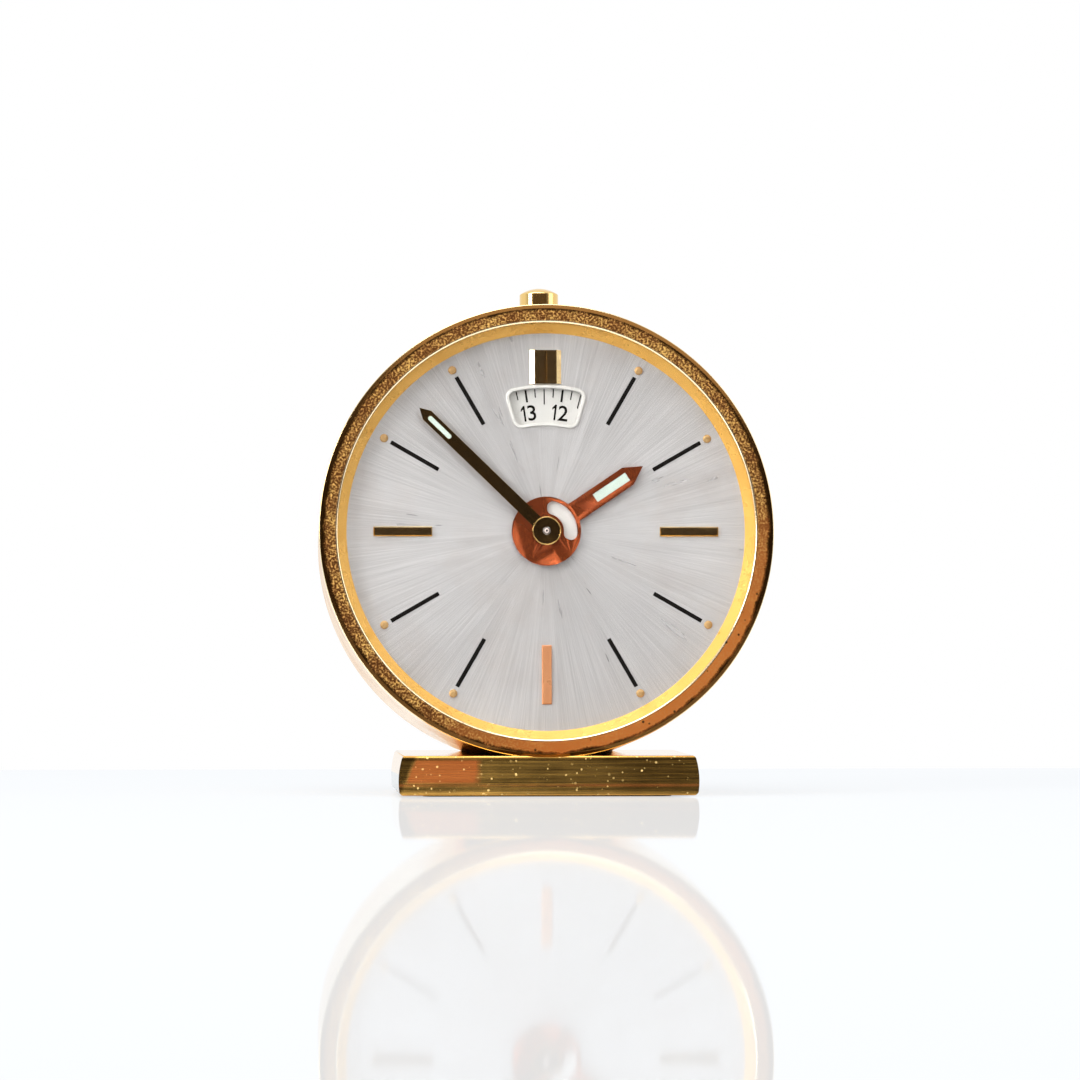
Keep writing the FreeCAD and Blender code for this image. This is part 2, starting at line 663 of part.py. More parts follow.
def button_bush():
    outer_r = BUTTON_R + RUN + BUSH_WALL
    top = math.sqrt(CASE_R ** 2 - outer_r ** 2)
    body = button_well(outer_r, BUSH_END, top)
    body = body.cut(button_well(BUTTON_R + RUN, BUSH_END + BUSH_FLOOR, top + OVERCUT))
    return body.cut(button_well(BUTTON_STEM_R + RUN, BUSH_END - OVERCUT, top))


def alarm_button():
    """Cap with a low spherical crown, on a stem."""
    crown_r = (BUTTON_R ** 2 + BUTTON_CROWN ** 2) / (2 * BUTTON_CROWN)
    cap = button_well(BUTTON_R, BUTTON_FOOT, BUTTON_TOP)
    ball = Part.makeSphere(crown_r, V(0, BUTTON_AT, BUTTON_TOP - crown_r))
    cap = cap.common(union(ball, button_well(BUTTON_R + OVERCUT, BUTTON_FOOT - OVERCUT,
                                             BUTTON_TOP - BUTTON_CROWN)))
    return union(cap, button_well(BUTTON_STEM_R, BUTTON_STEM_END, BUTTON_FOOT))


def button_spring():
    """Coil spring between the bush's floor and the cap."""
    floor = BUSH_END + BUSH_FLOOR
    room = BUTTON_FOOT - floor - 2 * SPRING_WIRE_R - 2 * FIT
    steps = SPRING_TURNS * SPRING_STEPS
    points = []
    for step in range(steps + 1):
        x, y = polar(SPRING_MEAN_R, 360 * step / SPRING_STEPS)
        points.append(V(x, y, room * step / steps))
    path = Part.BSplineCurve()
    path.interpolate(points)
    start = path.tangent(path.FirstParameter)[0]
    ring = Part.Wire(Part.makeCircle(SPRING_WIRE_R, points[0], start))
    coil = Part.Wire(path.toShape()).makePipeShell([ring], True, True)
    coil.translate(V(0, BUTTON_AT, floor + SPRING_WIRE_R + FIT))
    return coil


# Stand, in the room's frame with the drum's front centre over the origin of x and y

def stood(shape):
    """Lean a shape of the drum's frame back and lift it to its place over the foot."""
    placed = shape.copy()
    placed.rotate(V(0, 0, 0), V(1, 0, 0), -LEAN)
    placed.translate(V(0, 0, AXIS_HEIGHT))
    return placed


def base_screw_shank(depth, radius, below_wall):
    """Cylinder along the drum's radius, from inside the bottom wall outwards."""
    length = AXIS_HEIGHT - CASE_BORE_R + below_wall
    return Part.makeCylinder(radius, length, V(0, depth, -CASE_BORE_R + below_wall), V(0, 0, -1))


def base_screw_seat(depth):
    """Height in the drum's frame of the shoulder that a base screw's head bears on."""
    return -CASE_R - (AXIS_HEIGHT - CASE_R - PAD_THICK - depth * math.sin(math.radians(LEAN))) / 2


def base_bar():
    half_top = BAR_TOP_W / 2
    half_bottom = BAR_BOTTOM_W / 2
    middle = (half_top + half_bottom) / 2 + BAR_END_BULGE
    front = -BAR_AHEAD
    low = PAD_PROUD
    corners = [V(-half_bottom, front, low), V(half_bottom, front, low),
               V(half_top, front, BAR_TOP), V(-half_top, front, BAR_TOP)]
    right = Part.Arc(corners[1], V(middle, front, (low + BAR_TOP) / 2), corners[2]).toShape()
    left = Part.Arc(corners[3], V(-middle, front, (low + BAR_TOP) / 2), corners[0]).toShape()
    outline = Part.Wire([Part.makeLine(corners[0], corners[1]), right,
                         Part.makeLine(corners[2], corners[3]), left])
    body = Part.Face(outline).extrude(V(0, BAR_DEPTH, 0))
    body = round_edges(body, BAR_FOOT_EDGE, lambda edge: edge.BoundBox.ZMax < low + 1e-4)
    body = round_edges(body, BAR_EDGE, lambda edge: edge.BoundBox.ZMin > BAR_TOP - 1e-4)
    body = body.cut(stood(hole(CASE_R + FIT, BEZEL_DEPTH, CASE_END + BAR_DEPTH)))
    body = body.cut(stood(hole(BEZEL_R + FIT, -BAR_AHEAD, BEZEL_DEPTH + FIT - OVERCUT)))
    body = body.cut(pad_block(PAD_W + 2 * FIT, PAD_DEPTH + 2 * FIT, PAD_THICK))
    for depth in BASE_SCREW_DEPTHS:
        body = body.cut(stood(base_screw_shank(depth, BASE_SCREW_R + FIT, 0)))
        seat = V(0, depth, base_screw_seat(depth))
        well = Part.makeCylinder(BASE_SCREW_HEAD_R + BASE_SCREW_HEAD_CLEAR, AXIS_HEIGHT, seat, V(0, 0, -1))
        body = body.cut(stood(well))
    return body


def pad_block(width, depth, height):
    middle = BAR_DEPTH / 2 - BAR_AHEAD
    block = Part.makeBox(width, depth, height, V(-width / 2, middle - depth / 2, 0))
    return round_edges(block, PAD_CORNER, lambda edge: edge.BoundBox.ZLength > height / 2)


def base_screws():
    screws = []
    for depth in BASE_SCREW_DEPTHS:
        top = -CASE_BORE_R + NUT_PLATE_THICK
        seat = base_screw_seat(depth)
        shank = Part.makeCylinder(BASE_SCREW_R, top - seat, V(0, depth, seat), V(0, 0, 1))
        head = Part.makeCylinder(BASE_SCREW_HEAD_R, BASE_SCREW_HEAD_H,
                                 V(0, depth, seat - BASE_SCREW_HEAD_H), V(0, 0, 1))
        screws.append(union(shank, head))
    return screws


# Dial

def dial_plate():
    body = tube(CASE_BORE_R - FIT, DISC_BUSH_R + RUN, DIAL_FRONT, DIAL_BACK)
    return body.cut(sector(WINDOW_INNER_R, WINDOW_OUTER_R, WINDOW_HALF_ANGLE, DIAL_FRONT - OVERCUT,
                           DIAL_BACK + OVERCUT, WINDOW_CORNER))


def window_frame():
    margin = math.degrees(FRAME_WIDTH / ((WINDOW_INNER_R + WINDOW_OUTER_R) / 2))
    outer = sector(WINDOW_INNER_R - FRAME_WIDTH, WINDOW_OUTER_R + FRAME_WIDTH,
                   WINDOW_HALF_ANGLE + margin, DIAL_FRONT - FRAME_H, DIAL_FRONT,
                   WINDOW_CORNER + FRAME_WIDTH)
    return outer.cut(sector(WINDOW_INNER_R, WINDOW_OUTER_R, WINDOW_HALF_ANGLE,
                            DIAL_FRONT - FRAME_H - OVERCUT, DIAL_FRONT + OVERCUT, WINDOW_CORNER))


def bevelled_bar(width, inner_r, outer_r, height, bevel):
    """Straight marker pointing to 12, bevelled all round its front face."""
    body = Part.makeBox(width, height, outer_r - inner_r, V(-width / 2, DIAL_FRONT - height, inner_r))
    front = DIAL_FRONT - height
    edges = [edge for edge in body.Edges if edge.BoundBox.YMax < front + 1e-4]
    return body.makeChamfer(bevel, edges)


def twelve_marker():
    body = bevelled_bar(TWELVE_W, TWELVE_INNER_R, TWELVE_OUTER_R, TWELVE_H, TWELVE_BEVEL)
    groove = Part.makeBox(TWELVE_GROOVE_W, TWELVE_GROOVE_H, TWELVE_OUTER_R,
                          V(-TWELVE_GROOVE_W / 2, DIAL_FRONT - TWELVE_H, TWELVE_INNER_R - OVERCUT))
    return body.cut(groove)


def hour_markers():
    bar = bevelled_bar(BATON_W, BATON_MID_R - BATON_L / 2, BATON_MID_R + BATON_L / 2, BATON_H,
                       BATON_BEVEL)
    markers = [clockwise(bar, angle) for angle in BATON_ANGLES]
    for angle in DOT_ANGLES:
        at = polar(DOT_RING_R, 90 - angle)
        dot = tube(DOT_R, 0, DIAL_FRONT - DOT_H, DIAL_FRONT, at)
        markers.append(round_edges(dot, DOT_EDGE, lambda edge: circle_at(edge, DOT_R, DIAL_FRONT - DOT_H)))
    return markers


# Hands

def pointer(length, width, head_l, front):
    """Flat hand from the centre to its pointed head."""
    half = width / 2
    outline = [(-half, 0), (half, 0), (half, length - head_l), (0, length), (-half, length - head_l)]
    return plate(outline, front, front + HAND_THICK)


def lume_bar(length, width, from_tip, hand_l, front):
    low = hand_l - from_tip - length
    return plate([(-width / 2, low), (width / 2, low), (width / 2, low + length),
                  (-width / 2, low + length)], front, front + HAND_THICK)


def minute_lume():
    bar = lume_bar(MINUTE_LUME_L, MINUTE_LUME_W, MINUTE_LUME_FROM_TIP, MINUTE_L, MINUTE_FRONT)
    return clockwise(bar, MINUTE_ANGLE)


def minute_hand():
    """Pointer riveted to a raised hub with a rim."""
    back = MINUTE_FRONT + HAND_THICK
    hub = tube(MINUTE_HUB_R, 0, MINUTE_FRONT - MINUTE_HUB_H, back)
    hub = hub.cut(tube(MINUTE_HUB_R - MINUTE_HUB_RIM, 0, MINUTE_FRONT - MINUTE_HUB_H - OVERCUT,
                       MINUTE_FRONT - MINUTE_HUB_H / 2))
    body = union(pointer(MINUTE_L, MINUTE_W, MINUTE_HEAD_L, MINUTE_FRONT), hub)
    body = body.cut(hole(CANNON_R + FIT, MINUTE_FRONT, back))
    return clockwise(body, MINUTE_ANGLE).cut(minute_lume())


def hour_lume():
    bar = lume_bar(HOUR_LUME_L, HOUR_LUME_W, HOUR_LUME_FROM_TIP, HOUR_L, HOUR_FRONT)
    return clockwise(bar, HOUR_ANGLE)


def hour_hand():
    """Pointer on a round disc that a crescent slot pierces."""
    body = union(pointer(HOUR_L, HOUR_W, HOUR_HEAD_L, HOUR_FRONT),
                 tube(HOUR_DISC_R, 0, HOUR_FRONT, HOUR_FRONT + HAND_THICK))
    slot = sector(CRESCENT_MID_R - CRESCENT_W / 2, CRESCENT_MID_R + CRESCENT_W / 2,
                  CRESCENT_HALF_ANGLE, HOUR_FRONT - OVERCUT, HOUR_FRONT + HAND_THICK + OVERCUT,
                  CRESCENT_W * CRESCENT_ROUND)
    body = body.cut(slot).cut(hole(HOUR_PIPE_R + FIT, HOUR_FRONT, HOUR_FRONT + HAND_THICK))
    return clockwise(body, HOUR_ANGLE).cut(hour_lume())


def day_night_disc():
    return tube(DAY_DISC_R, DAY_PIPE_R + FIT, DAY_DISC_FRONT, DAY_DISC_FRONT + DAY_DISC_THICK)


def alarm_disc():
    """Disc read through the dial's window, toothed round its rim."""
    return gear(ALARM_DISC_TEETH, ALARM_MODULE, ALARM_DISC_FRONT, ALARM_DISC_FRONT + ALARM_DISC_THICK,
                DISC_BUSH_R + RUN, ALARM_SET_AT)


# Motion work

def motion_bridge():
    """Plate under the dial on three posts, with the bush that the alarm disc turns on."""
    body = tube(BRIDGE_R, BUSH_BORE_R, BRIDGE_FRONT, BRIDGE_BACK)
    pieces = [tube(DISC_BUSH_R, BUSH_BORE_R, DIAL_BACK - DIAL_THICK / 2, BRIDGE_BACK)]
    for angle in BRIDGE_POST_ANGLES:
        at = polar(BRIDGE_POST_RING_R, angle)
        pieces.append(tube(BRIDGE_POST_R, 0, BRIDGE_FRONT + BRIDGE_THICK / 2, MAIN_PLATE_FRONT, at))
    return union(body, *pieces)


CANNON_PHASE = meshing_phase(MINUTE_WHEEL_TEETH, MINUTE_WHEEL_AT + 180, MINUTE_WHEEL, CANNON_TEETH,
                             CENTRE)
SET_PHASE = meshing_phase(MINUTE_WHEEL_TEETH, MINUTE_WHEEL_AT + 180, MINUTE_WHEEL, SET_TEETH, HAND_SET)
MINUTE_PINION_PHASE = meshing_phase(HOUR_TEETH, MINUTE_WHEEL_AT, CENTRE, MINUTE_PINION_TEETH,
                                    MINUTE_WHEEL)
IDLER_PHASE = meshing_phase(HOUR_PINION_TEETH, IDLER_AT, CENTRE, IDLER_TEETH, IDLER)
DAY_PINION_PHASE = meshing_phase(DAY_TEETH, IDLER_AT, CENTRE, DAY_PINION_TEETH, IDLER)


def cannon_pinion():
    wheel = gear(CANNON_TEETH, MOTION_MODULE, MINUTE_LEVEL, MINUTE_LEVEL + MOTION_WHEEL_THICK,
                 CENTRE_ARBOR_R + FIT, CANNON_PHASE)
    pipe = tube(CANNON_R, CENTRE_ARBOR_R + FIT, MINUTE_FRONT, MINUTE_LEVEL + MOTION_WHEEL_THICK)
    return union(wheel, pipe)


def hour_wheel():
    wheel = gear(HOUR_TEETH, MOTION_MODULE, HOUR_LEVEL, HOUR_LEVEL + MOTION_WHEEL_THICK,
                 HOUR_PIPE_BORE_R, MINUTE_WHEEL_AT)
    pinion = gear(HOUR_PINION_TEETH, IDLER_MODULE, HOUR_PINION_LEVEL,
                  HOUR_PINION_LEVEL + MOTION_WHEEL_THICK, HOUR_PIPE_BORE_R, IDLER_AT)
    pipe = tube(HOUR_PIPE_R, HOUR_PIPE_BORE_R, HOUR_FRONT, HOUR_LEVEL + MOTION_WHEEL_THICK)
    return union(wheel, pinion, pipe)


def day_night_wheel():
    wheel = gear(DAY_TEETH, DAY_MODULE, DAY_LEVEL, DAY_LEVEL + MOTION_WHEEL_THICK,
                 DAY_PIPE_BORE_R, IDLER_AT)
    pipe = tube(DAY_PIPE_R, DAY_PIPE_BORE_R, DAY_DISC_FRONT, DAY_LEVEL + MOTION_WHEEL_THICK)
    return union(wheel, pipe)


def minute_wheel():
    wheel = gear(MINUTE_WHEEL_TEETH, MOTION_MODULE, MINUTE_LEVEL, MINUTE_LEVEL + MOTION_WHEEL_THICK,
                 STUD_R + RUN, MINUTE_WHEEL_AT + 180, MINUTE_WHEEL)
    pinion = gear(MINUTE_PINION_TEETH, MOTION_MODULE, HOUR_LEVEL - MOTION_PINION_OVER, MINUTE_LEVEL,
                  STUD_R + RUN, MINUTE_PINION_PHASE, MINUTE_WHEEL)
    return union(wheel, pinion)


def day_night_idler():
    wheel = gear(IDLER_TEETH, IDLER_MODULE, HOUR_PINION_LEVEL, HOUR_PINION_LEVEL + MOTION_WHEEL_THICK,
                 STUD_R + RUN, IDLER_PHASE, IDLER)
    pinion = gear(DAY_PINION_TEETH, DAY_MODULE, DAY_LEVEL - MOTION_PINION_OVER, HOUR_PINION_LEVEL,
                  STUD_R + RUN, DAY_PINION_PHASE, IDLER)
    return union(wheel, pinion)


def knob(at, arbor_r):
    """Round knob with flutes, on the end of an arbor behind the back cover."""
    front = COVER_BACK + KEY_STAND_OFF
    body = tube(KNOB_R, 0, front, front + KNOB_L, at)
    rim = [edge for edge in body.Edges if circle_at(edge, KNOB_R, front + KNOB_L)]
    body = body.makeChamfer(KNOB_BEVEL, rim)
    for flute in range(KNOB_FLUTES):
        groove_at = polar(KNOB_R, flute * 360 / KNOB_FLUTES, at)
        body = body.cut(hole(KNOB_FLUTE_R, front, front + KNOB_L, groove_at))
    return body.cut(tube(arbor_r + FIT, 0, front - OVERCUT, front + KNOB_L / 2, at))


def setting_arbor(at, radius, front):
    """Arbor from under the dial to the middle of its knob."""
    return tube(radius, 0, front, COVER_BACK + KEY_STAND_OFF + KNOB_L / 2, at)


def hand_set_arbor():
    pinion = gear(SET_TEETH, MOTION_MODULE, MINUTE_LEVEL, MINUTE_LEVEL + MOTION_WHEEL_THICK, 0,
                  SET_PHASE, HAND_SET)
    return union(setting_arbor(HAND_SET, HAND_SET_ARBOR_R, MINUTE_LEVEL), pinion)


def alarm_set_arbor():
    phase = meshing_phase(ALARM_DISC_TEETH, ALARM_SET_AT, CENTRE, ALARM_SET_TEETH, ALARM_SET)
    front = ALARM_DISC_FRONT - ALARM_SET_PINION_OVER
    back = ALARM_DISC_FRONT + ALARM_DISC_THICK + ALARM_SET_PINION_OVER
    pinion = gear(ALARM_SET_TEETH, ALARM_MODULE, front, back, 0, phase, ALARM_SET)
    return union(setting_arbor(ALARM_SET, ALARM_SET_ARBOR_R, front), pinion)


# Plates

def main_plate():
    front = MAIN_PLATE_FRONT
    back = MAIN_PLATE_BACK
    body = tube(PLATE_R, MAIN_ARBOR_R + RUN, front, back)
    holes = [(BARREL, WINDING_ARBOR_R), (ALARM_BARREL, WINDING_ARBOR_R), (THIRD, TRAIN_ARBOR_R),
             (FOURTH, TRAIN_ARBOR_R), (ESCAPE, TRAIN_ARBOR_R), (ALARM_WHEEL, TRAIN_ARBOR_R),
             (HAMMER, TRAIN_ARBOR_R), (HAND_SET, HAND_SET_ARBOR_R), (ALARM_SET, ALARM_SET_ARBOR_R)]
    for at, radius in holes:
        body = body.cut(hole(radius + RUN, front, back, at))
    for angle in SHOULDER_SCREW_ANGLES:
        body = body.cut(hole(SCREW_R + FIT, front, back, polar(SHOULDER_SCREW_RING_R, angle)))
    posts = [tube(STUD_R, 0, HOUR_LEVEL - STUD_OVER, front, MINUTE_WHEEL),
             tube(STUD_R, 0, DAY_LEVEL - STUD_OVER, front, IDLER),
             tube(GONG_R, 0, back, BACK_PLATE_FRONT - GONG_END_GAP, GONG)]
    return union(body, *posts)


def back_plate():
    front = BACK_PLATE_FRONT
    back = BACK_PLATE_BACK
    body = tube(PLATE_R, MAIN_ARBOR_R + RUN, front, back)
    holes = [(BARREL, WINDING_ARBOR_R), (ALARM_BARREL, WINDING_ARBOR_R), (THIRD, TRAIN_ARBOR_R),
             (FOURTH, TRAIN_ARBOR_R), (ESCAPE, TRAIN_ARBOR_R), (ALARM_WHEEL, TRAIN_ARBOR_R),
             (HAMMER, TRAIN_ARBOR_R), (HAND_SET, HAND_SET_ARBOR_R), (ALARM_SET, ALARM_SET_ARBOR_R),
             (BALANCE, STAFF_R)]
    for at, radius in holes:
        body = body.cut(hole(radius + RUN, front, back, at))
    for angle in PILLAR_ANGLES:
        body = body.cut(hole(SCREW_R + FIT, front, back, polar(PILLAR_RING_R, angle)))
    body = body.cut(hole(SCREW_R + FIT, front, back, COCK_FOOT))
    body = body.cut(button_well(BUTTON_R + RUN + BUSH_WALL + GAP, BUSH_END - GAP, PLATE_R + OVERCUT))
    posts = [tube(STUD_R, 0, back, back + PALLET_STUD_H, PALLET)]
    for at in (BARREL, ALARM_BARREL):
        pivot = (at[0] + CLICK_PIVOT[0], at[1] + CLICK_PIVOT[1])
        posts.append(tube(STUD_R, 0, back, back + CLICK_STUD_H, pivot))
    return union(body, *posts)


def pillars():
    posts = []
    for angle in PILLAR_ANGLES:
        at = polar(PILLAR_RING_R, angle)
        post = tube(PILLAR_R, 0, MAIN_PLATE_BACK, BACK_PLATE_FRONT, at)
        bore_front = BACK_PLATE_FRONT - PILLAR_BORE_L
        posts.append(post.cut(tube(SCREW_R + FIT, 0, bore_front, BACK_PLATE_FRONT + OVERCUT, at)))
    return posts


def movement_screws():
    places = []
    for angle in PILLAR_ANGLES:
        front = BACK_PLATE_FRONT - PILLAR_BORE_L + SCREW_TIP_CLEAR
        places.append((polar(PILLAR_RING_R, angle), front, BACK_PLATE_BACK))
    for angle in SHOULDER_SCREW_ANGLES:
        front = DIAL_BACK + SHOULDER_SKIN + SCREW_TIP_CLEAR
        places.append((polar(SHOULDER_SCREW_RING_R, angle), front, MAIN_PLATE_BACK))
    places.append((COCK_FOOT, BACK_PLATE_FRONT, BACK_PLATE_BACK + COCK_LIFT + COCK_THICK))
    return [screw(at, front, back, SCREW_R, SCREW_HEAD_R, SCREW_HEAD_H) for at, front, back in places]


# Going train

def centre_arbor():
    """Arbor with its pinion: it carries the centre wheel behind and the hands in front."""
    front = MAIN_PLATE_BACK + BARREL_START
    phase = meshing_phase(BARREL_TEETH, BARREL_AT + 180, BARREL, CENTRE_PINION_TEETH, CENTRE)
    pinion_back = front + BARREL_RIM_H + PINION_OVER
    pinion = gear(CENTRE_PINION_TEETH, BARREL_MODULE, front - PINION_OVER, pinion_back, 0, phase)
    thin = tube(CENTRE_ARBOR_R, 0, MINUTE_FRONT - MINUTE_HUB_H / 2, front)
    tip = tube(CENTRE_TIP_R, 0, MINUTE_FRONT - MINUTE_HUB_H, MINUTE_FRONT)
    stout = tube(MAIN_ARBOR_R, 0, MAIN_PLATE_FRONT, front - PINION_OVER - GAP)
    rear = tube(MAIN_ARBOR_R, 0, pinion_back, BACK_PLATE_BACK)
    return union(pinion, thin, tip, stout, rear)


def centre_wheel():
    back = BACK_PLATE_FRONT - CENTRE_WHEEL_BACK
    wheel = gear(CENTRE_TEETH, CENTRE_MODULE, back - TRAIN_WHEEL_THICK, back, MAIN_ARBOR_R + FIT,
                 THIRD_AT)
    hub = tube(MAIN_ARBOR_R + CENTRE_HUB_WALL, MAIN_ARBOR_R + FIT, back, back + CENTRE_HUB_H)
    openings = spoke_openings(CENTRE_TEETH, CENTRE_MODULE, back - TRAIN_WHEEL_THICK, back, CENTRE)
    return union(wheel.cut(clockwise(openings, -THIRD_AT)), hub)


def spoke_openings(teeth, module, front, back, at):
    """Openings that leave a wheel of this size with a rim and straight arms."""
    outer_r = module * (teeth / 2 - DEDENDUM) - WHEEL_RIM
    opening = sector(WHEEL_CENTRE_R, outer_r, SPOKE_OPENING_HALF_ANGLE, front - OVERCUT, back + OVERCUT,
                     SPOKE_CORNER)
    opening.translate(V(at[0], 0, at[1]))
    turns = [turn * 360 / SPOKE_COUNT for turn in range(SPOKE_COUNT)]
    return Part.Compound([clockwise(opening, turn, at) for turn in turns])


def barrel_front():
    return MAIN_PLATE_BACK + BARREL_START


def barrel():
    """Drum with a toothed rim at its front and a floor there, open to the back."""
    front = barrel_front()
    rim = gear(BARREL_TEETH, BARREL_MODULE, front, front + BARREL_RIM_H, WINDING_ARBOR_R + RUN,
               BARREL_AT + 180, BARREL)
    wall = tube(BARREL_DRUM_R, BARREL_DRUM_R - BARREL_WALL, front + BARREL_RIM_H / 2,
                front + BARREL_H, BARREL)
    return union(rim, wall)


def barrel_cover():
    back = barrel_front() + BARREL_H
    return tube(BARREL_DRUM_R - BARREL_WALL - FIT, WINDING_ARBOR_R + RUN, back - BARREL_WALL, back,
                BARREL)


def mainspring():
    front = barrel_front() + BARREL_RIM_H + SPRING_END_GAP
    back = barrel_front() + BARREL_H - BARREL_WALL - SPRING_END_GAP
    return drum_spring(BARREL_DRUM_R, MAINSPRING_START, MAINSPRING_PITCH, MAINSPRING_THICK, front, back,
                       BARREL)


def drum_spring(drum_r, start, pitch, thickness, front, back, at):
    """Spiral from just outside a winding arbor to the wall of its drum, in whole turns."""
    inner_r = WINDING_ARBOR_R + start
    turns = int((drum_r - BARREL_WALL - inner_r - thickness - pitch / 2) / pitch)
    return band_spiral(inner_r, pitch, turns, thickness, front, back, at)


def third_wheel():
    """Wheel, pinion and arbor of the third arbor."""
    centre_back = BACK_PLATE_FRONT - CENTRE_WHEEL_BACK
    wheel_back = BACK_PLATE_FRONT - THIRD_WHEEL_BACK
    phase = meshing_phase(CENTRE_TEETH, THIRD_AT, CENTRE, THIRD_PINION_TEETH, THIRD)
    wheel = gear(THIRD_TEETH, CENTRE_MODULE, wheel_back - TRAIN_WHEEL_THICK, wheel_back, 0,
                 FOURTH_AT, THIRD)
    wheel = wheel.cut(spoke_openings(THIRD_TEETH, CENTRE_MODULE, wheel_back - TRAIN_WHEEL_THICK,
                                     wheel_back, THIRD))
    pinion = gear(THIRD_PINION_TEETH, CENTRE_MODULE, wheel_back, centre_back + PINION_OVER, 0, phase,
                  THIRD)
    arbor = tube(TRAIN_ARBOR_R, 0, MAIN_PLATE_FRONT, BACK_PLATE_BACK, THIRD)
    return union(wheel, pinion, arbor)


def fourth_wheel():
    third_back = BACK_PLATE_FRONT - THIRD_WHEEL_BACK
    wheel_back = BACK_PLATE_FRONT - FOURTH_WHEEL_BACK
    phase = meshing_phase(THIRD_TEETH, FOURTH_AT, THIRD, FOURTH_PINION_TEETH, FOURTH)
    wheel = gear(FOURTH_TEETH, FOURTH_MODULE, wheel_back - TRAIN_WHEEL_THICK, wheel_back, 0,
                 ESCAPE_AT, FOURTH)
    wheel = wheel.cut(spoke_openings(FOURTH_TEETH, FOURTH_MODULE, wheel_back - TRAIN_WHEEL_THICK,
                                     wheel_back, FOURTH))
    pinion = gear(FOURTH_PINION_TEETH, CENTRE_MODULE, wheel_back, third_back + PINION_OVER, 0, phase,
                  FOURTH)
    arbor = tube(TRAIN_ARBOR_R, 0, MAIN_PLATE_FRONT, BACK_PLATE_BACK, FOURTH)
    return union(wheel, pinion, arbor)


def escape_wheel():
    """Pinion between the plates, pointed wheel behind the back plate."""
    fourth_back = BACK_PLATE_FRONT - FOURTH_WHEEL_BACK
    front = BACK_PLATE_BACK + ESCAPE_LIFT
    phase = meshing_phase(FOURTH_TEETH, ESCAPE_AT, FOURTH, ESCAPE_PINION_TEETH, ESCAPE)
    pinion = gear(ESCAPE_PINION_TEETH, FOURTH_MODULE, fourth_back - TRAIN_WHEEL_THICK - PINION_OVER,
                  fourth_back + PINION_OVER, 0, phase, ESCAPE)
    wheel = saw_wheel(ESCAPE_TEETH, ESCAPE_R, ESCAPE_ROOT_R, front, front + ESCAPE_THICK, 0, PALLET_AT,
                      ESCAPE)
    arbor = tube(TRAIN_ARBOR_R, 0, MAIN_PLATE_FRONT, front + ESCAPE_THICK, ESCAPE)
    return union(pinion, wheel, arbor)


def along_pallets(shape, at):
    """Turn and move a shape drawn with the escape wheel straight above its pivot."""
    placed = shape.copy()
    placed.translate(V(at[0], 0, at[1]))
    return clockwise(placed, 270 - PALLET_AT, at)


def pallet_fork():
    """Lever with two pallets, drawn clear of the escape wheel over its whole swing."""
    front = BACK_PLATE_BACK + ESCAPE_LIFT
    back = front + ESCAPE_THICK
    yoke_top = PALLET_DISTANCE - ESCAPE_R - PALLET_CLEAR
    yoke = rectangle(-PALLET_REACH, PALLET_REACH, yoke_top - PALLET_BAR_W, yoke_top, front, back)
    lever_end = IMPULSE_PIN_OUT + IMPULSE_PIN_R + GAP - BALANCE_DISTANCE
    lever = rectangle(-PALLET_BAR_W / 2, PALLET_BAR_W / 2, lever_end, yoke_top, front, back)
    stones = [rectangle(PALLET_REACH - PALLET_STONE_W, PALLET_REACH, yoke_top - PALLET_BAR_W / 2,
                        yoke_top + PALLET_STONE_L, front, back),
              rectangle(-PALLET_REACH, PALLET_STONE_W - PALLET_REACH, yoke_top - PALLET_BAR_W / 2,
                        yoke_top + PALLET_STONE_L, front, back)]
    body = union(yoke, lever, tube(PALLET_HUB_R, 0, front, back), *stones)
    return along_pallets(body.cut(hole(STUD_R + RUN, front, back)), PALLET)


def balance_wheel():
    """Rim on two arms, with its staff, roller and impulse pin."""
    front = BACK_PLATE_BACK + BALANCE_LIFT
    back = front + BALANCE_THICK
    rim = tube(BALANCE_R, BALANCE_R - BALANCE_RIM, front, back)
    arm_r = BALANCE_R - BALANCE_RIM / 2
    half = BALANCE_ARM_W / 2
    arms = plate([(-arm_r, -half), (arm_r, -half), (arm_r, half), (-arm_r, half)], front, back)
    staff = tube(STAFF_R, 0, BACK_PLATE_FRONT, BACK_PLATE_BACK + COCK_LIFT + COCK_THICK / 2)
    roller_back = front - ROLLER_GAP
    roller = tube(ROLLER_R, 0, roller_back - ROLLER_THICK, roller_back)
    pin = tube(IMPULSE_PIN_R, 0, BACK_PLATE_BACK + ESCAPE_LIFT, roller_back, (0, IMPULSE_PIN_OUT))
    return along_pallets(union(rim, arms, staff, roller, pin), BALANCE)


def hairspring():
    front = BACK_PLATE_BACK + BALANCE_LIFT + BALANCE_THICK + HAIRSPRING_LIFT
    return band_spiral(STAFF_R + HAIRSPRING_START, HAIRSPRING_PITCH, HAIRSPRING_TURNS, HAIRSPRING_WIRE, front,
                       front + HAIRSPRING_H, BALANCE)


def balance_cock():
    """Arm over the balance, on a block screwed to the back plate, with the hairspring's stud."""
    front = BACK_PLATE_BACK + COCK_LIFT
    back = front + COCK_THICK
    half = COCK_W / 2
    arm = plate([(-half, -COCK_REACH), (half, -COCK_REACH), (half, 0), (-half, 0)], front, back)
    foot = tube(half, 0, BACK_PLATE_BACK, back, (0, -COCK_REACH))
    end = tube(half, 0, front, back)
    body = union(arm, foot, end)
    body = body.cut(tube(STAFF_R + RUN, 0, front - OVERCUT, front + COCK_THICK / 2 + GAP / 2))
    body = body.cut(hole(SCREW_R + FIT, BACK_PLATE_BACK, back, (0, -COCK_REACH)))
    return along_pallets(body, BALANCE)


# Winding

def winding_arbor(at, front):
    key_back = COVER_BACK + KEY_STAND_OFF + KEY_HUB_L / 2
    return tube(WINDING_ARBOR_R, 0, front, key_back, at)


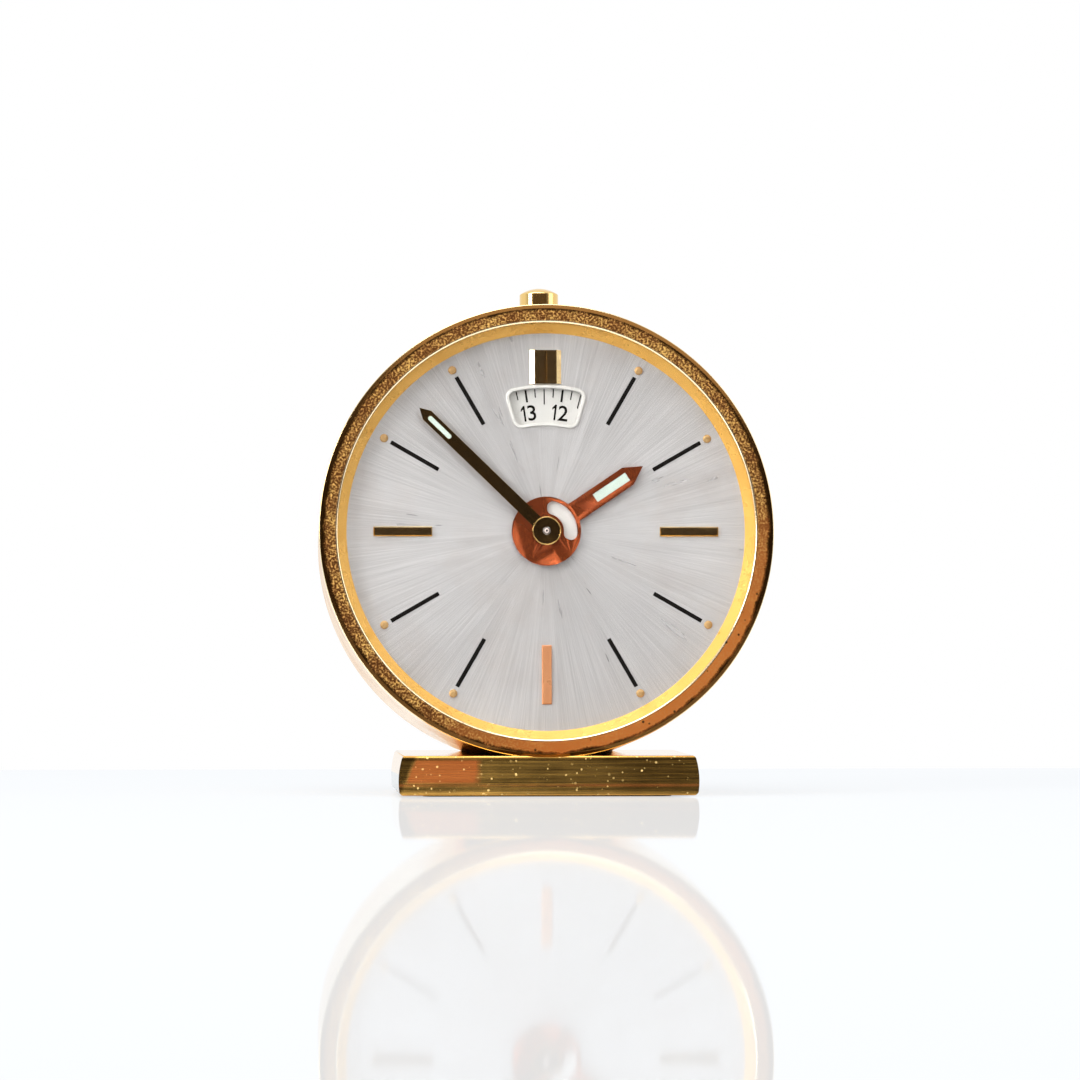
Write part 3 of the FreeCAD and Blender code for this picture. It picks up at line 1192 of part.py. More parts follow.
def ratchet(at, bore_r):
    """Saw-toothed wheel of a winding arbor; the click's beak rests by its tooth at 12."""
    front = BACK_PLATE_BACK + GAP
    return saw_wheel(RATCHET_TEETH, RATCHET_R, RATCHET_ROOT_R, front, front + RATCHET_THICK, bore_r,
                     90, at)


def alarm_winding_arbor():
    """Arbor and ratchet wheel in one piece."""
    return union(ratchet(ALARM_BARREL, 0), winding_arbor(ALARM_BARREL, MAIN_PLATE_FRONT))


def click(at):
    """Pawl with its beak in the ratchet's gap just clockwise of 12."""
    front = BACK_PLATE_BACK + GAP
    pivot = (at[0] + CLICK_PIVOT[0], at[1] + CLICK_PIVOT[1])
    beak_low = RATCHET_ROOT_R + BEAK_LIFT
    under_hub = polar(CLICK_HUB_R, -72, CLICK_PIVOT)
    over_hub = polar(CLICK_HUB_R, 122, CLICK_PIVOT)
    beak = plate([(BEAK_INSET, beak_low), (BEAK_L, beak_low + BEAK_RISE), under_hub, over_hub,
                  (BEAK_INSET, beak_low + BEAK_H)], front, front + RATCHET_THICK, at)
    hub = tube(CLICK_HUB_R, 0, front, front + RATCHET_THICK, pivot)
    return union(beak, hub).cut(hole(STUD_R + RUN, front, front + RATCHET_THICK, pivot))


def winding_key(at):
    """Hub on the arbor with two flat rounded wings."""
    front = COVER_BACK + KEY_STAND_OFF
    hub_back = front + KEY_HUB_L
    hub = tube(KEY_HUB_R, 0, front, hub_back)
    half = KEY_WING_SPAN / 2
    wings = Part.makeBox(KEY_WING_SPAN, KEY_WING_L, KEY_WING_THICK,
                         V(-half, front + KEY_WING_FROM, -KEY_WING_THICK / 2))
    wings = round_edges(wings, KEY_WING_CORNER,
                        lambda edge: edge.BoundBox.ZLength > KEY_WING_THICK / 2)
    key = union(hub, wings).cut(tube(WINDING_ARBOR_R + FIT, 0, front - OVERCUT, front + KEY_HUB_L / 2))
    key.translate(V(at[0], 0, at[1]))
    return key


# Alarm work

def alarm_barrel():
    front = barrel_front()
    rim = gear(ALARM_BARREL_TEETH, ALARM_TRAIN_MODULE, front, front + BARREL_RIM_H,
               WINDING_ARBOR_R + RUN, ALARM_WHEEL_AT, ALARM_BARREL)
    drum = tube(ALARM_BARREL_DRUM_R, ALARM_BARREL_DRUM_R - BARREL_WALL, front + BARREL_RIM_H / 2,
                front + ALARM_BARREL_H, ALARM_BARREL)
    return union(rim, drum)


def alarm_spring():
    front = barrel_front() + BARREL_RIM_H + SPRING_END_GAP
    back = barrel_front() + ALARM_BARREL_H
    return drum_spring(ALARM_BARREL_DRUM_R, ALARM_SPRING_START, ALARM_SPRING_PITCH, ALARM_SPRING_THICK,
                       front, back, ALARM_BARREL)


def alarm_wheel():
    """Pinion driven by the alarm barrel, and the saw wheel that works the hammer."""
    front = barrel_front() + ALARM_BARREL_H + ALARM_WHEEL_GAP
    phase = meshing_phase(ALARM_BARREL_TEETH, ALARM_WHEEL_AT, ALARM_BARREL, ALARM_PINION_TEETH,
                          ALARM_WHEEL)
    pinion = gear(ALARM_PINION_TEETH, ALARM_TRAIN_MODULE, barrel_front() - ALARM_PINION_OVER,
                  barrel_front() + BARREL_RIM_H + ALARM_PINION_OVER, 0, phase, ALARM_WHEEL)
    wheel = saw_wheel(ALARM_WHEEL_TEETH, ALARM_WHEEL_R, ALARM_WHEEL_ROOT_R, front,
                      front + ALARM_WHEEL_THICK, 0, 0, ALARM_WHEEL)
    arbor = tube(TRAIN_ARBOR_R, 0, MAIN_PLATE_FRONT, BACK_PLATE_BACK, ALARM_WHEEL)
    return union(pinion, wheel, arbor)


def hammer():
    """Arbor with a tail by the alarm wheel and an arm that carries the striking head."""
    front = barrel_front() + ALARM_BARREL_H + ALARM_WHEEL_GAP
    back = front + HAMMER_ARM_THICK
    half = HAMMER_ARM_W / 2
    arm = rectangle(-half, half, 0, math.hypot(*HAMMER_HEAD), front, back, HAMMER)
    arm = clockwise(arm, 90 - angle_from(CENTRE, HAMMER_HEAD), HAMMER)
    tail = rectangle(-HAMMER_TAIL_L, 0, -HAMMER_TAIL_W / 2, HAMMER_TAIL_W / 2, front, back, HAMMER)
    head_at = (HAMMER[0] + HAMMER_HEAD[0], HAMMER[1] + HAMMER_HEAD[1])
    head_front = front - HAMMER_HEAD_AHEAD
    head = tube(HAMMER_HEAD_R, 0, head_front, head_front + HAMMER_HEAD_H, head_at)
    arbor = tube(TRAIN_ARBOR_R, 0, MAIN_PLATE_FRONT, BACK_PLATE_BACK, HAMMER)
    collar = tube(HAMMER_COLLAR_R, 0, front - HAMMER_COLLAR_OVER, back + HAMMER_COLLAR_OVER, HAMMER)
    return union(arm, tail, head, arbor, collar)


STAND_PIECES = {"base_bar": base_bar, "felt_pad": lambda: pad_block(PAD_W, PAD_DEPTH, PAD_THICK)}

DRUM_PIECES = {
    "base_screws": base_screws,
    "case_drum": case_drum,
    "bezel": bezel,
    "crystal": crystal,
    "crystal_gasket": crystal_gasket,
    "rehaut_ring": rehaut_ring,
    "back_cover": back_cover,
    "back_cover_screws": back_cover_screws,
    "button_bush": button_bush,
    "button_spring": button_spring,
    "alarm_button": alarm_button,
    "dial_plate": dial_plate,
    "window_frame": window_frame,
    "twelve_marker": twelve_marker,
    "hour_markers": hour_markers,
    "minute_hand": minute_hand,
    "minute_lume": minute_lume,
    "hour_hand": hour_hand,
    "hour_lume": hour_lume,
    "day_night_disc": day_night_disc,
    "alarm_disc": alarm_disc,
    "motion_bridge": motion_bridge,
    "cannon_pinion": cannon_pinion,
    "hour_wheel": hour_wheel,
    "day_night_wheel": day_night_wheel,
    "minute_wheel": minute_wheel,
    "day_night_idler": day_night_idler,
    "hand_set_arbor": hand_set_arbor,
    "hand_set_knob": lambda: knob(HAND_SET, HAND_SET_ARBOR_R),
    "alarm_set_arbor": alarm_set_arbor,
    "alarm_set_knob": lambda: knob(ALARM_SET, ALARM_SET_ARBOR_R),
    "main_plate": main_plate,
    "back_plate": back_plate,
    "pillars": pillars,
    "movement_screws": movement_screws,
    "centre_arbor": centre_arbor,
    "centre_wheel": centre_wheel,
    "barrel": barrel,
    "barrel_cover": barrel_cover,
    "mainspring": mainspring,
    "third_wheel": third_wheel,
    "fourth_wheel": fourth_wheel,
    "escape_wheel": escape_wheel,
    "pallet_fork": pallet_fork,
    "balance_wheel": balance_wheel,
    "hairspring": hairspring,
    "balance_cock": balance_cock,
    "winding_arbor": lambda: winding_arbor(BARREL, MAIN_PLATE_FRONT),
    "ratchet_wheel": lambda: ratchet(BARREL, WINDING_ARBOR_R + FIT),
    "click": lambda: click(BARREL),
    "winding_key": lambda: winding_key(BARREL),
    "alarm_barrel": alarm_barrel,
    "alarm_spring": alarm_spring,
    "alarm_winding_arbor": alarm_winding_arbor,
    "alarm_click": lambda: click(ALARM_BARREL),
    "alarm_key": lambda: winding_key(ALARM_BARREL),
    "alarm_wheel": alarm_wheel,
    "hammer": hammer,
}


def build_all():
    """Every piece in the room's frame, by its name."""
    pieces = {name: make() for name, make in STAND_PIECES.items()}
    for name, make in DRUM_PIECES.items():
        made = make()
        if isinstance(made, list):
            made = Part.Compound(made)
        pieces[name] = stood(made)
    return pieces


def whole_depth(pieces):
    """Lowest and highest y of the object."""
    boxes = [piece.optimalBoundingBox(False) for piece in pieces.values()]
    return min(box.YMin for box in boxes), max(box.YMax for box in boxes)


def save(pieces):
    """Write each piece, with the origin under the middle of the object."""
    front, back = whole_depth(pieces)
    os.makedirs("parts", exist_ok=True)
    for name, piece in pieces.items():
        piece.translate(V(0, -(front + back) / 2, 0))
        piece.exportStep("parts/" + name + ".step")


save(build_all())
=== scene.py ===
"""Looks of a round alarm desk clock on a bar foot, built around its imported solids."""

import json
import math

import bmesh
import bpy
from mathutils import Matrix, Vector


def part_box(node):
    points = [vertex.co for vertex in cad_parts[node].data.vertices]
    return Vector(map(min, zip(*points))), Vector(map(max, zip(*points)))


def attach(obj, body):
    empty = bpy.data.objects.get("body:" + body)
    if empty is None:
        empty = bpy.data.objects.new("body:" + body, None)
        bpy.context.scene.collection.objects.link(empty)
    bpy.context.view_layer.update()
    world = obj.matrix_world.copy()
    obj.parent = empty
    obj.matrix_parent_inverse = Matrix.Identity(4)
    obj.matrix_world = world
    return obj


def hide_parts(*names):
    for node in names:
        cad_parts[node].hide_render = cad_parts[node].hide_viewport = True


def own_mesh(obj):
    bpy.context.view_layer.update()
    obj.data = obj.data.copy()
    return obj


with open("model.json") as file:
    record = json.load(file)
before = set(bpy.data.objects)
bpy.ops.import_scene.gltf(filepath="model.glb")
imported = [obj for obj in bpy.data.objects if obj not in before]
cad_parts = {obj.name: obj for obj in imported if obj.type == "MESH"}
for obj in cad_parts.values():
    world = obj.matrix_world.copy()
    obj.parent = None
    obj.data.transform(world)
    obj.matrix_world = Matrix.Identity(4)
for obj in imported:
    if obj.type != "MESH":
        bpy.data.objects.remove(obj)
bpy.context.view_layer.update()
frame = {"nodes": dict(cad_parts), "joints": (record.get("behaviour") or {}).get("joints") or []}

bl_info = {
    "name": "Round Alarm Desk Clock",
    "version": (1, 0, 0),
    "blender": (4, 5, 0),
    "location": "3D View > Sidebar > Clock",
    "description": "Models and finishes the visible pieces of a round alarm desk clock",
    "category": "Object",
}

MM = 0.001
ROUND_STEPS = 192          # faces round a large turned piece
SMOOTH_ANGLE = math.radians(34)
MERGE = 1e-7               # vertices this close are one
PLAY = 0.02 * MM           # gap between fitted pieces
INK = 0.012 * MM           # thickness of printing
PAST = MM                  # how far a cutting tool stands out
PLAIN_HOURS = (1, 2, 4, 5, 7, 8, 10, 11)

# The drum's own frame: x to the right, z up, y back from the middle of the bezel's front
DIAL_MID_DEPTH = 2.7 * MM
HAND_AXIS = Vector(next(j["axis"] for j in frame["joints"] if j["name"] == "minute_turn"))
LEAN = math.asin(-HAND_AXIS.normalized().z)
DRUM_ORIGIN = sum(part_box("dial_plate"), Vector()) / 2 - HAND_AXIS.normalized() * DIAL_MID_DEPTH
DRUM = Matrix.Translation(DRUM_ORIGIN) @ Matrix.Rotation(-LEAN, 4, "X")


def tone(red, green, blue):
    """Colour written as on a screen, 0 to 255, in the scene's linear values."""
    return tuple(((c / 255 + 0.055) / 1.055) ** 2.4 if c > 10 else c / 255 / 12.92
                 for c in (red, green, blue))


def length(millimetres, about):
    return bpy.props.FloatProperty(name=about, description=about, default=millimetres * MM,
                                   min=0, unit="LENGTH", precision=5)


def turn(degrees, about):
    return bpy.props.FloatProperty(name=about, description=about, unit="ROTATION",
                                   default=math.radians(degrees))


def tint(rgb, about):
    return bpy.props.FloatVectorProperty(name=about, description=about, subtype="COLOR", size=3,
                                         min=0, max=1, default=tone(*rgb))


class CaseSizes(bpy.types.PropertyGroup):
    """Sizes of the drum, its bezel and its glass."""
    bezel_r: length(32.8, "Outer radius of the bezel")
    bezel_edge: length(0.42, "Rounding of the bezel's outer front edge")
    bezel_depth: length(3.0, "How far the bezel reaches back")
    opening_r: length(30.15, "Radius of the hole in the bezel")
    lip: length(0.36, "Thickness of the bezel in front of the glass")
    sleeve_r: length(32.01, "Radius of the step that carries the bezel")
    case_r: length(32.5, "Outer radius of the drum")
    bore_r: length(31.3, "Inner radius of the drum")
    case_end: length(28.0, "Depth of the drum's rear edge")
    case_edge: length(0.4, "Rounding of the drum's rear edge")
    glass_r: length(30.7, "Radius of the crystal")
    glass_back: length(0.91, "Depth of the crystal's rear face")
    sight_r: length(28.8, "Where the sloping ring meets the dial")
    button_r: length(2.85, "Radius of the alarm button")
    button_top: length(37.35, "Height of the button's crown over the drum's axis")
    button_foot: length(29.9, "Height of the cap's lower end over the axis")
    button_crown: length(0.9, "Rise of the button's domed top")
    button_at: length(17.7, "How far behind the bezel's front the button stands")


class DialSizes(bpy.types.PropertyGroup):
    """Sizes of the dial and of what is applied to it."""
    plate_r: length(31.28, "Outer radius of the dial plate")
    front: length(2.5, "Depth of the dial's face behind the bezel's front")
    back: length(2.9, "Depth of the dial's rear face")
    bore_r: length(2.3, "Hole for the hand pipes")
    window_in: length(15.8, "Inner radius of the alarm window")
    window_out: length(20.85, "Outer radius of the alarm window")
    window_half: turn(15.3, "Half of the window's width as an angle")
    window_corner: length(0.9, "Corner radius of the window")
    frame_w: length(0.45, "Width of the window's raised frame")
    frame_h: length(0.25, "How far the frame stands out from the dial")
    baton_l: length(8.5, "Length of the hour batons")
    baton_w: length(1.4, "Width of the hour batons")
    baton_h: length(0.3, "Thickness of the hour batons")
    baton_mid: length(20.7, "Distance of a baton's middle from the centre")
    baton_bevel: length(0.13, "Chamfer round a baton's face")
    twelve_in: length(21.45, "Inner end of the block at 12")
    twelve_out: length(26.35, "Outer end of the block at 12")
    twelve_w: length(4.56, "Width of the block at 12")
    twelve_h: length(0.4, "Thickness of the block at 12")
    twelve_bevel: length(0.68, "Width of the block's sloping sides")
    dot_r: length(0.6, "Radius of the domed dots")
    dot_h: length(0.35, "Height of the domed dots")
    dot_ring: length(27.0, "Radius of the ring of dots")
    line_l: length(7.95, "Length of the printed hour lines")
    line_w: length(0.6, "Width of the printed hour lines")
    line_mid: length(21.9, "Distance of a line's middle from the centre")
    tick_out: length(20.8, "Where the alarm scale's ticks begin")
    digit_r: length(17.4, "Radius of the alarm scale's numerals")
    digit_h: length(2.3, "Height of the alarm scale's numerals")
    disc_front: length(3.1, "Depth of the alarm disc's face")


class HandSizes(bpy.types.PropertyGroup):
    """Sizes of the hands and the angles they are set to."""
    minute_angle: turn(314.2, "Minute hand, clockwise from 12")
    minute_l: length(25.55, "Minute hand, centre to tip")
    minute_w: length(1.75, "Width of the minute hand")
    minute_head: length(1.55, "Minute hand, pointed end")
    minute_front: length(1.25, "Depth of the minute hand's face")
    minute_lume_l: length(4.4, "Minute hand, inlay's length")
    minute_lume_w: length(0.68, "Minute hand, inlay's width")
    minute_lume_in: length(1.9, "Minute hand, tip to inlay")
    hub_r: length(2.07, "Radius of the raised hub")
    hub_rim: length(0.17, "Width of the hub's polished rim")
    tip_r: length(0.53, "Radius of the arbor's tip in the hub")
    hub_front: length(0.95, "Depth of the hub's rim")
    hour_angle: turn(56, "Hour hand, clockwise from 12")
    hour_l: length(16.9, "Hour hand, centre to tip")
    hour_w: length(2.95, "Width of the hour hand")
    hour_head: length(2.65, "Hour hand, pointed end")
    hour_front: length(1.7, "Depth of the hour hand's face")
    hour_disc: length(5.0, "Radius of the disc round the centre")
    hour_lume_l: length(5.7, "Hour hand, inlay's length")
    hour_lume_w: length(1.33, "Hour hand, inlay's width")
    hour_lume_in: length(2.7, "Hour hand, tip to inlay")
    crescent_mid: length(3.5, "Middle radius of the crescent slot")
    crescent_w: length(1.95, "Width of the crescent slot")
    crescent_half: turn(54.5, "Half of the slot's length as an angle")
    thick: length(0.25, "Thickness of the hands")


class FootSizes(bpy.types.PropertyGroup):
    """Sizes of the bar foot, in the room's frame."""
    top_w: length(41.9, "Width of the bar at its top")
    bottom_w: length(42.7, "Width of the bar at its bottom")
    low: length(0.2, "Height of the bar's underside")
    high: length(5.9, "Height of the bar's top")
    depth: length(34.0, "Size of the bar from front to back")
    ahead: length(5.0, "How far the bar stands out in front of the bezel")
    bulge: length(0.35, "How far the ends curve out at mid height")
    edge: length(0.35, "Rounding of the top edges")
    foot_edge: length(0.5, "Rounding of the bottom edges")
    pad_w: length(36.0, "Width of the felt pad")
    pad_depth: length(28.0, "Size of the felt pad from front to back")
    pad_thick: length(0.8, "Thickness of the felt pad")


class BackSizes(bpy.types.PropertyGroup):
    """Sizes of the back cover."""
    cover_front: length(26.6, "Depth of the cover's inner face")
    cover_back: length(27.8, "Depth of the cover's outer face")
    cover_r: length(31.28, "Radius of the back cover")


class Tints(bpy.types.PropertyGroup):
    """Colours of the clock's finishes."""
    gold: tint((242, 190, 98), "Bright gold plating")
    # Also paints the warm reflection patch on the foot's front
    copper: tint((196, 104, 46), "Where the plating has worn to copper")
    tarnish: tint((78, 50, 18), "Dark tarnish on the plating")
    silver: tint((232, 230, 229), "Sunburst silver of the dial")
    white: tint((238, 236, 230), "Window frame and alarm disc")
    ink: tint((6, 6, 7), "Hour lines, ticks and numerals")
    lume: tint((222, 240, 226), "Inlays of the hands")
    brass: tint((203, 164, 88), "Plates and wheels of the movement")
    steel: tint((176, 178, 182), "Arbors, pinions and screws")
    felt: tint((36, 70, 48), "Pad under the foot")
    rubber: tint((24, 24, 25), "Gasket round the crystal")
    floor: tint((246, 247, 249), "Pale glossy table")


# Modelling helpers

def leave_all():
    """Object mode with nothing selected."""
    if bpy.context.object and bpy.context.object.mode != "OBJECT":
        bpy.ops.object.mode_set(mode="OBJECT")
    bpy.ops.object.select_all(action="DESELECT")


def take(obj):
    """Select one object alone and make it active."""
    leave_all()
    obj.select_set(True)
    bpy.context.view_layer.objects.active = obj
    return obj


def named(name):
    """Name the object that an operator has just added, with its place in its mesh."""
    obj = bpy.context.object
    obj.name = name
    obj.data.name = name
    bpy.ops.object.transform_apply(location=True, rotation=True, scale=True)
    return obj


def pick(obj, kind, test):
    """In edit mode, select the vertices, edges or faces that pass a test on their places."""
    bpy.ops.mesh.select_mode(type=kind)
    bpy.ops.mesh.select_all(action="DESELECT")
    shape = bmesh.from_edit_mesh(obj.data)
    parts = {"VERT": shape.verts, "EDGE": shape.edges, "FACE": shape.faces}[kind]
    for part in parts:
        points = [part.co] if kind == "VERT" else [v.co for v in part.verts]
        if all(test(p) for p in points):
            part.select_set(True)
    bmesh.update_edit_mesh(obj.data)


def pick_long(obj, axis, least):
    """In edit mode, select the edges that reach further than this along an axis."""
    bpy.ops.mesh.select_mode(type="EDGE")
    bpy.ops.mesh.select_all(action="DESELECT")
    for edge in bmesh.from_edit_mesh(obj.data).edges:
        a, b = (v.co[axis] for v in edge.verts)
        edge.select_set(abs(a - b) > least)
    bmesh.update_edit_mesh(obj.data)


def near(value, target, slack=2e-6):
    return abs(value - target) < slack


def edit(obj):
    take(obj)
    bpy.ops.object.mode_set(mode="EDIT")
    bpy.ops.mesh.select_all(action="SELECT")
    return obj


def closed(obj):
    """Merge doubles, turn the faces outwards and leave edit mode."""
    bpy.ops.mesh.select_all(action="SELECT")
    bpy.ops.mesh.remove_doubles(threshold=MERGE)
    bpy.ops.mesh.normals_make_consistent(inside=False)
    bpy.ops.object.mode_set(mode="OBJECT")
    return obj


def turned(name, outline, solid=False, steps=ROUND_STEPS):
    """Piece of a lathe about the y axis: a ring drawn through (radius, depth) corners."""
    leave_all()
    radius, depth = outline[0]
    bpy.ops.mesh.primitive_circle_add(vertices=steps, radius=radius, location=(0, depth, 0),
                                      rotation=(math.pi / 2, 0, 0),
                                      fill_type="NGON" if solid else "NOTHING")
    obj = edit(named(name))
    corners = outline[1:] if solid else outline[1:] + outline[:1]
    for next_radius, next_depth in corners:
        bpy.ops.mesh.extrude_region_move(
            TRANSFORM_OT_translate={"value": (0, next_depth - depth, 0)})
        grow = next_radius / radius
        if grow != 1:
            bpy.ops.transform.resize(value=(grow, 1, grow), center_override=(0, next_depth, 0))
        radius, depth = next_radius, next_depth
    return closed(obj)


def rim(radius, depth, inward, backward, size, steps=4):
    """Corner points of a rounded rim, from its face round to its side or the other way.
    inward and backward say which way the metal lies from the sharp corner, as 1 or -1."""
    points = []
    for step in range(steps + 1):
        bend = math.pi / 2 * step / steps
        points.append((radius - inward * size * (1 - math.sin(bend)),
                       depth + backward * size * (1 - math.cos(bend))))
    return points


def block(name, low, high):
    """Box between two corners."""
    leave_all()
    middle = [(a + b) / 2 for a, b in zip(low, high)]
    bpy.ops.mesh.primitive_cube_add(size=1, location=middle,
                                    scale=[b - a for a, b in zip(low, high)])
    return named(name)


def bevel_picked(size, segments=1):
    bpy.ops.mesh.bevel(offset=size, segments=segments, affect="EDGES", clamp_overlap=False)


def modify(obj, kind, **settings):
    """Add a modifier and apply it at once."""
    take(obj)
    bpy.ops.object.modifier_add(type=kind)
    modifier = obj.modifiers[-1]
    for key, value in settings.items():
        setattr(modifier, key, value)
    bpy.ops.object.modifier_apply(modifier=modifier.name)
    return obj


def soften(obj, width, segments=2, angle=30):
    return modify(obj, "BEVEL", width=width, segments=segments, limit_method="ANGLE",
                  angle_limit=math.radians(angle), use_clamp_overlap=True)


def combine(obj, tool, operation="DIFFERENCE"):
    """Cut a tool out of a piece, or weld it on, and remove the tool."""
    modify(obj, "BOOLEAN", object=tool, operation=operation, solver="EXACT")
    bpy.data.objects.remove(tool)
    return obj


def copied(obj, name):
    """Copy of a piece with its own mesh."""
    take(obj)
    bpy.ops.object.duplicate(linked=False)
    copy = bpy.context.object
    copy.name = name
    copy.data.name = name
    return copy


def settled(obj, place=(0, 0, 0), turned_by=(0, 0, 0)):
    """Move and turn a piece, and take its place up into its mesh."""
    take(obj)
    obj.location, obj.rotation_euler = place, turned_by
    bpy.ops.object.transform_apply(location=True, rotation=True, scale=True)
    return obj


def moved(obj, clockwise=0, at=(0, 0)):
    """Turn a piece clockwise round the dial's centre and move it across the dial."""
    return settled(obj, (at[0], 0, at[1]), (0, clockwise, 0))


def in_drum(obj):
    """Set a piece that was made in the drum's frame in its place in the room."""
    return settled(obj, DRUM.translation, (-LEAN, 0, 0))


def joined(pieces):
    """Join several pieces into the first one."""
    leave_all()
    for piece in pieces:
        piece.select_set(True)
    bpy.context.view_layer.objects.active = pieces[0]
    if len(pieces) > 1:
        bpy.ops.object.join()
    return bpy.context.object


def finished(obj, body, finish, replaces="", leans=True, smooth=SMOOTH_ANGLE):
    """Shade a piece, set it in its place, hang it on its body and hide the solid that it stands
    for.
    """
    take(obj)
    bpy.ops.object.shade_smooth_by_angle(angle=smooth)
    modify(obj, "WEIGHTED_NORMAL", weight=80, keep_sharp=True)
    if leans:
        in_drum(obj)
    obj.data.materials.clear()
    obj.data.materials.append(FINISHES[finish])
    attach(obj, body)
    if replaces:
        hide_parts(replaces)
    return obj


def plate(name, outline, front, back):
    """Flat piece with an outline of (x, z) points: a circle's vertices drawn out to it."""
    leave_all()
    bpy.ops.mesh.primitive_circle_add(vertices=len(outline), radius=MM, fill_type="NGON",
                                      rotation=(math.pi / 2, 0, 0))
    obj = edit(named(name))
    shape = bmesh.from_edit_mesh(obj.data)
    for vertex, (x, z) in zip(shape.verts, outline):
        vertex.co = (x, front, z)
    bmesh.update_edit_mesh(obj.data)
    bpy.ops.mesh.extrude_region_move(TRANSFORM_OT_translate={"value": (0, back - front, 0)})
    return closed(obj)


def at_clock(radius, angle, start=(0, 0)):
    """Point at a distance from a start, in a direction clockwise from 12."""
    return start[0] + radius * math.sin(angle), start[1] + radius * math.cos(angle)


def sweep(start, radius, low, high, steps):
    """Points of an arc, both ends among them."""
    return [at_clock(radius, low + (high - low) * step / steps, start)
            for step in range(steps + 1)]


def sector_outline(inner_r, outer_r, half_angle, corner):
    """Outline of a ring sector centred on 12, with rounded corners."""
    far_angle = half_angle - math.asin(corner / (outer_r - corner))
    near_angle = half_angle - math.asin(corner / (inner_r + corner))
    side = half_angle + math.pi / 2
    right = sweep(at_clock(outer_r - corner, far_angle), corner, far_angle, side, 7)
    right += sweep(at_clock(inner_r + corner, near_angle), corner, side,
                   near_angle + math.pi, 7)
    outer = sweep((0, 0), outer_r, -far_angle, far_angle, 20)[1:-1]
    inner = sweep((0, 0), inner_r, near_angle, -near_angle, 20)[1:-1]
    left = [(-x, z) for x, z in reversed(right)]
    return outer + right + inner + left


def arrow_outline(radius, width, half_angle):
    """Outline of a curved arrow over a middle, pointing clockwise."""
    inner, outer = radius - width / 2, radius + width / 2
    tip = half_angle + 2.2 * width / radius
    return (sweep((0, 0), outer, -half_angle, half_angle, 16)
            + [at_clock(radius + 1.3 * width, half_angle), at_clock(radius, tip),
               at_clock(radius - 1.3 * width, half_angle)]
            + sweep((0, 0), inner, half_angle, -half_angle, 16))


def arc_plate(name, inner_r, outer_r, half_angle, corner, front, back):
    return plate(name, sector_outline(inner_r, outer_r, half_angle, corner), front, back)


# Finishes

class Value:
    """Output of a shader node. Reckoning with values adds the nodes that work it out."""

    def __init__(self, socket):
        self.socket = socket
        self.tree = socket.id_data

    def __getitem__(self, output):
        return Value(self.socket.node.outputs[output])

    def __add__(self, other):
        return maths("ADD", self, other)

    def __mul__(self, other):
        return maths("MULTIPLY", self, other)

    def __rsub__(self, other):
        return maths("SUBTRACT", other, self)

    def spread(self, low, high, to_low=0.0, to_high=1.0):
        """Map a value from one range to another and stop at its ends."""
        return add(self.tree, "MapRange", {"Value": self, "From Min": low, "From Max": high,
                                           "To Min": to_low, "To Max": to_high})

    def grain(self, scale, detail=3.0, rough=0.6):
        """Noise at this place."""
        return add(self.tree, "TexNoise", {"Vector": self, "Scale": scale, "Detail": detail,
                                           "Roughness": rough})

    def cells(self, scale, low, high, least, most):
        """Dots at this place, of a size between low and high, in some of the cells."""
        made = add(self.tree, "TexVoronoi", {"Vector": self, "Scale": scale})
        return made["Distance"].spread(low, high, 1, 0) * made["Color"].spread(least, most)

    def apart(self):
        return add(self.tree, "SeparateXYZ", {0: self})


def feed(node, inputs):
    """Give a node's inputs their values or links."""
    for key, value in inputs.items():
        socket = node.inputs[key]
        if isinstance(value, Value):
            value.tree.links.new(value.socket, socket)
        elif socket.type == "RGBA":
            socket.default_value = (*value, 1)
        else:
            socket.default_value = value


def add(tree, kind, inputs=None, **settings):
    """Add a shader node with its settings and inputs, and hand on its first output."""
    made = tree.nodes.new("ShaderNode" + kind)
    for key, value in settings.items():
        setattr(made, key, value)
    feed(made, inputs or {})
    return Value(made.outputs[0])


def tree_of(*values):
    return next(v.tree for v in values if isinstance(v, Value))


def maths(operation, first, second=0.0, clamp=False):
    return add(tree_of(first, second), "Math", {0: first, 1: second}, operation=operation,
               use_clamp=clamp)


def vector(operation, first, second=(0, 0, 0), scale=1.0):
    return add(first.tree, "VectorMath", {0: first, 1: second, 3: scale}, operation=operation)


def blend(share, first, second):
    """Mix two colours by a share from 0 to 1."""
    return add(tree_of(share, first, second), "Mix", {0: share, 6: first, 7: second},
               data_type="RGBA")[2]


def dim(colour, by):
    return [min(1, c * by) for c in colour]


def new_finish(name):
    """New material, its shader, and the place on the piece."""
    made = bpy.data.materials.new(name)
    made.use_nodes = True
    tree = made.node_tree
    return made, tree.nodes["Principled BSDF"], add(tree, "TexCoord")["Object"]


def show(surface):
    feed(surface.tree.nodes["Material Output"], {"Surface": surface})


def in_drum_frame(here):
    """Coordinates in the drum's own frame."""
    return add(here.tree, "Mapping", {"Vector": here, "Location": DRUM.translation,
                                      "Rotation": (-LEAN, 0, 0)}, vector_type="TEXTURE")


def streaks(where, round_it, outwards, detail):
    """Noise that is as fine as round_it says round the drum's axis, and as outwards going out."""
    parts = where.apart()
    flat = add(where.tree, "CombineXYZ", {"X": parts["X"], "Z": parts["Z"]})
    out = add(where.tree, "CombineXYZ", {"Y": vector("LENGTH", flat)["Value"] * outwards})
    across = vector("SCALE", vector("NORMALIZE", flat), scale=round_it)
    return vector("ADD", across, out).grain(1.0, detail)


def bump(shader, height, strength, distance):
    feed(shader, {"Normal": add(height.tree, "Bump", {"Height": height, "Strength": strength,
                                                      "Distance": distance})})


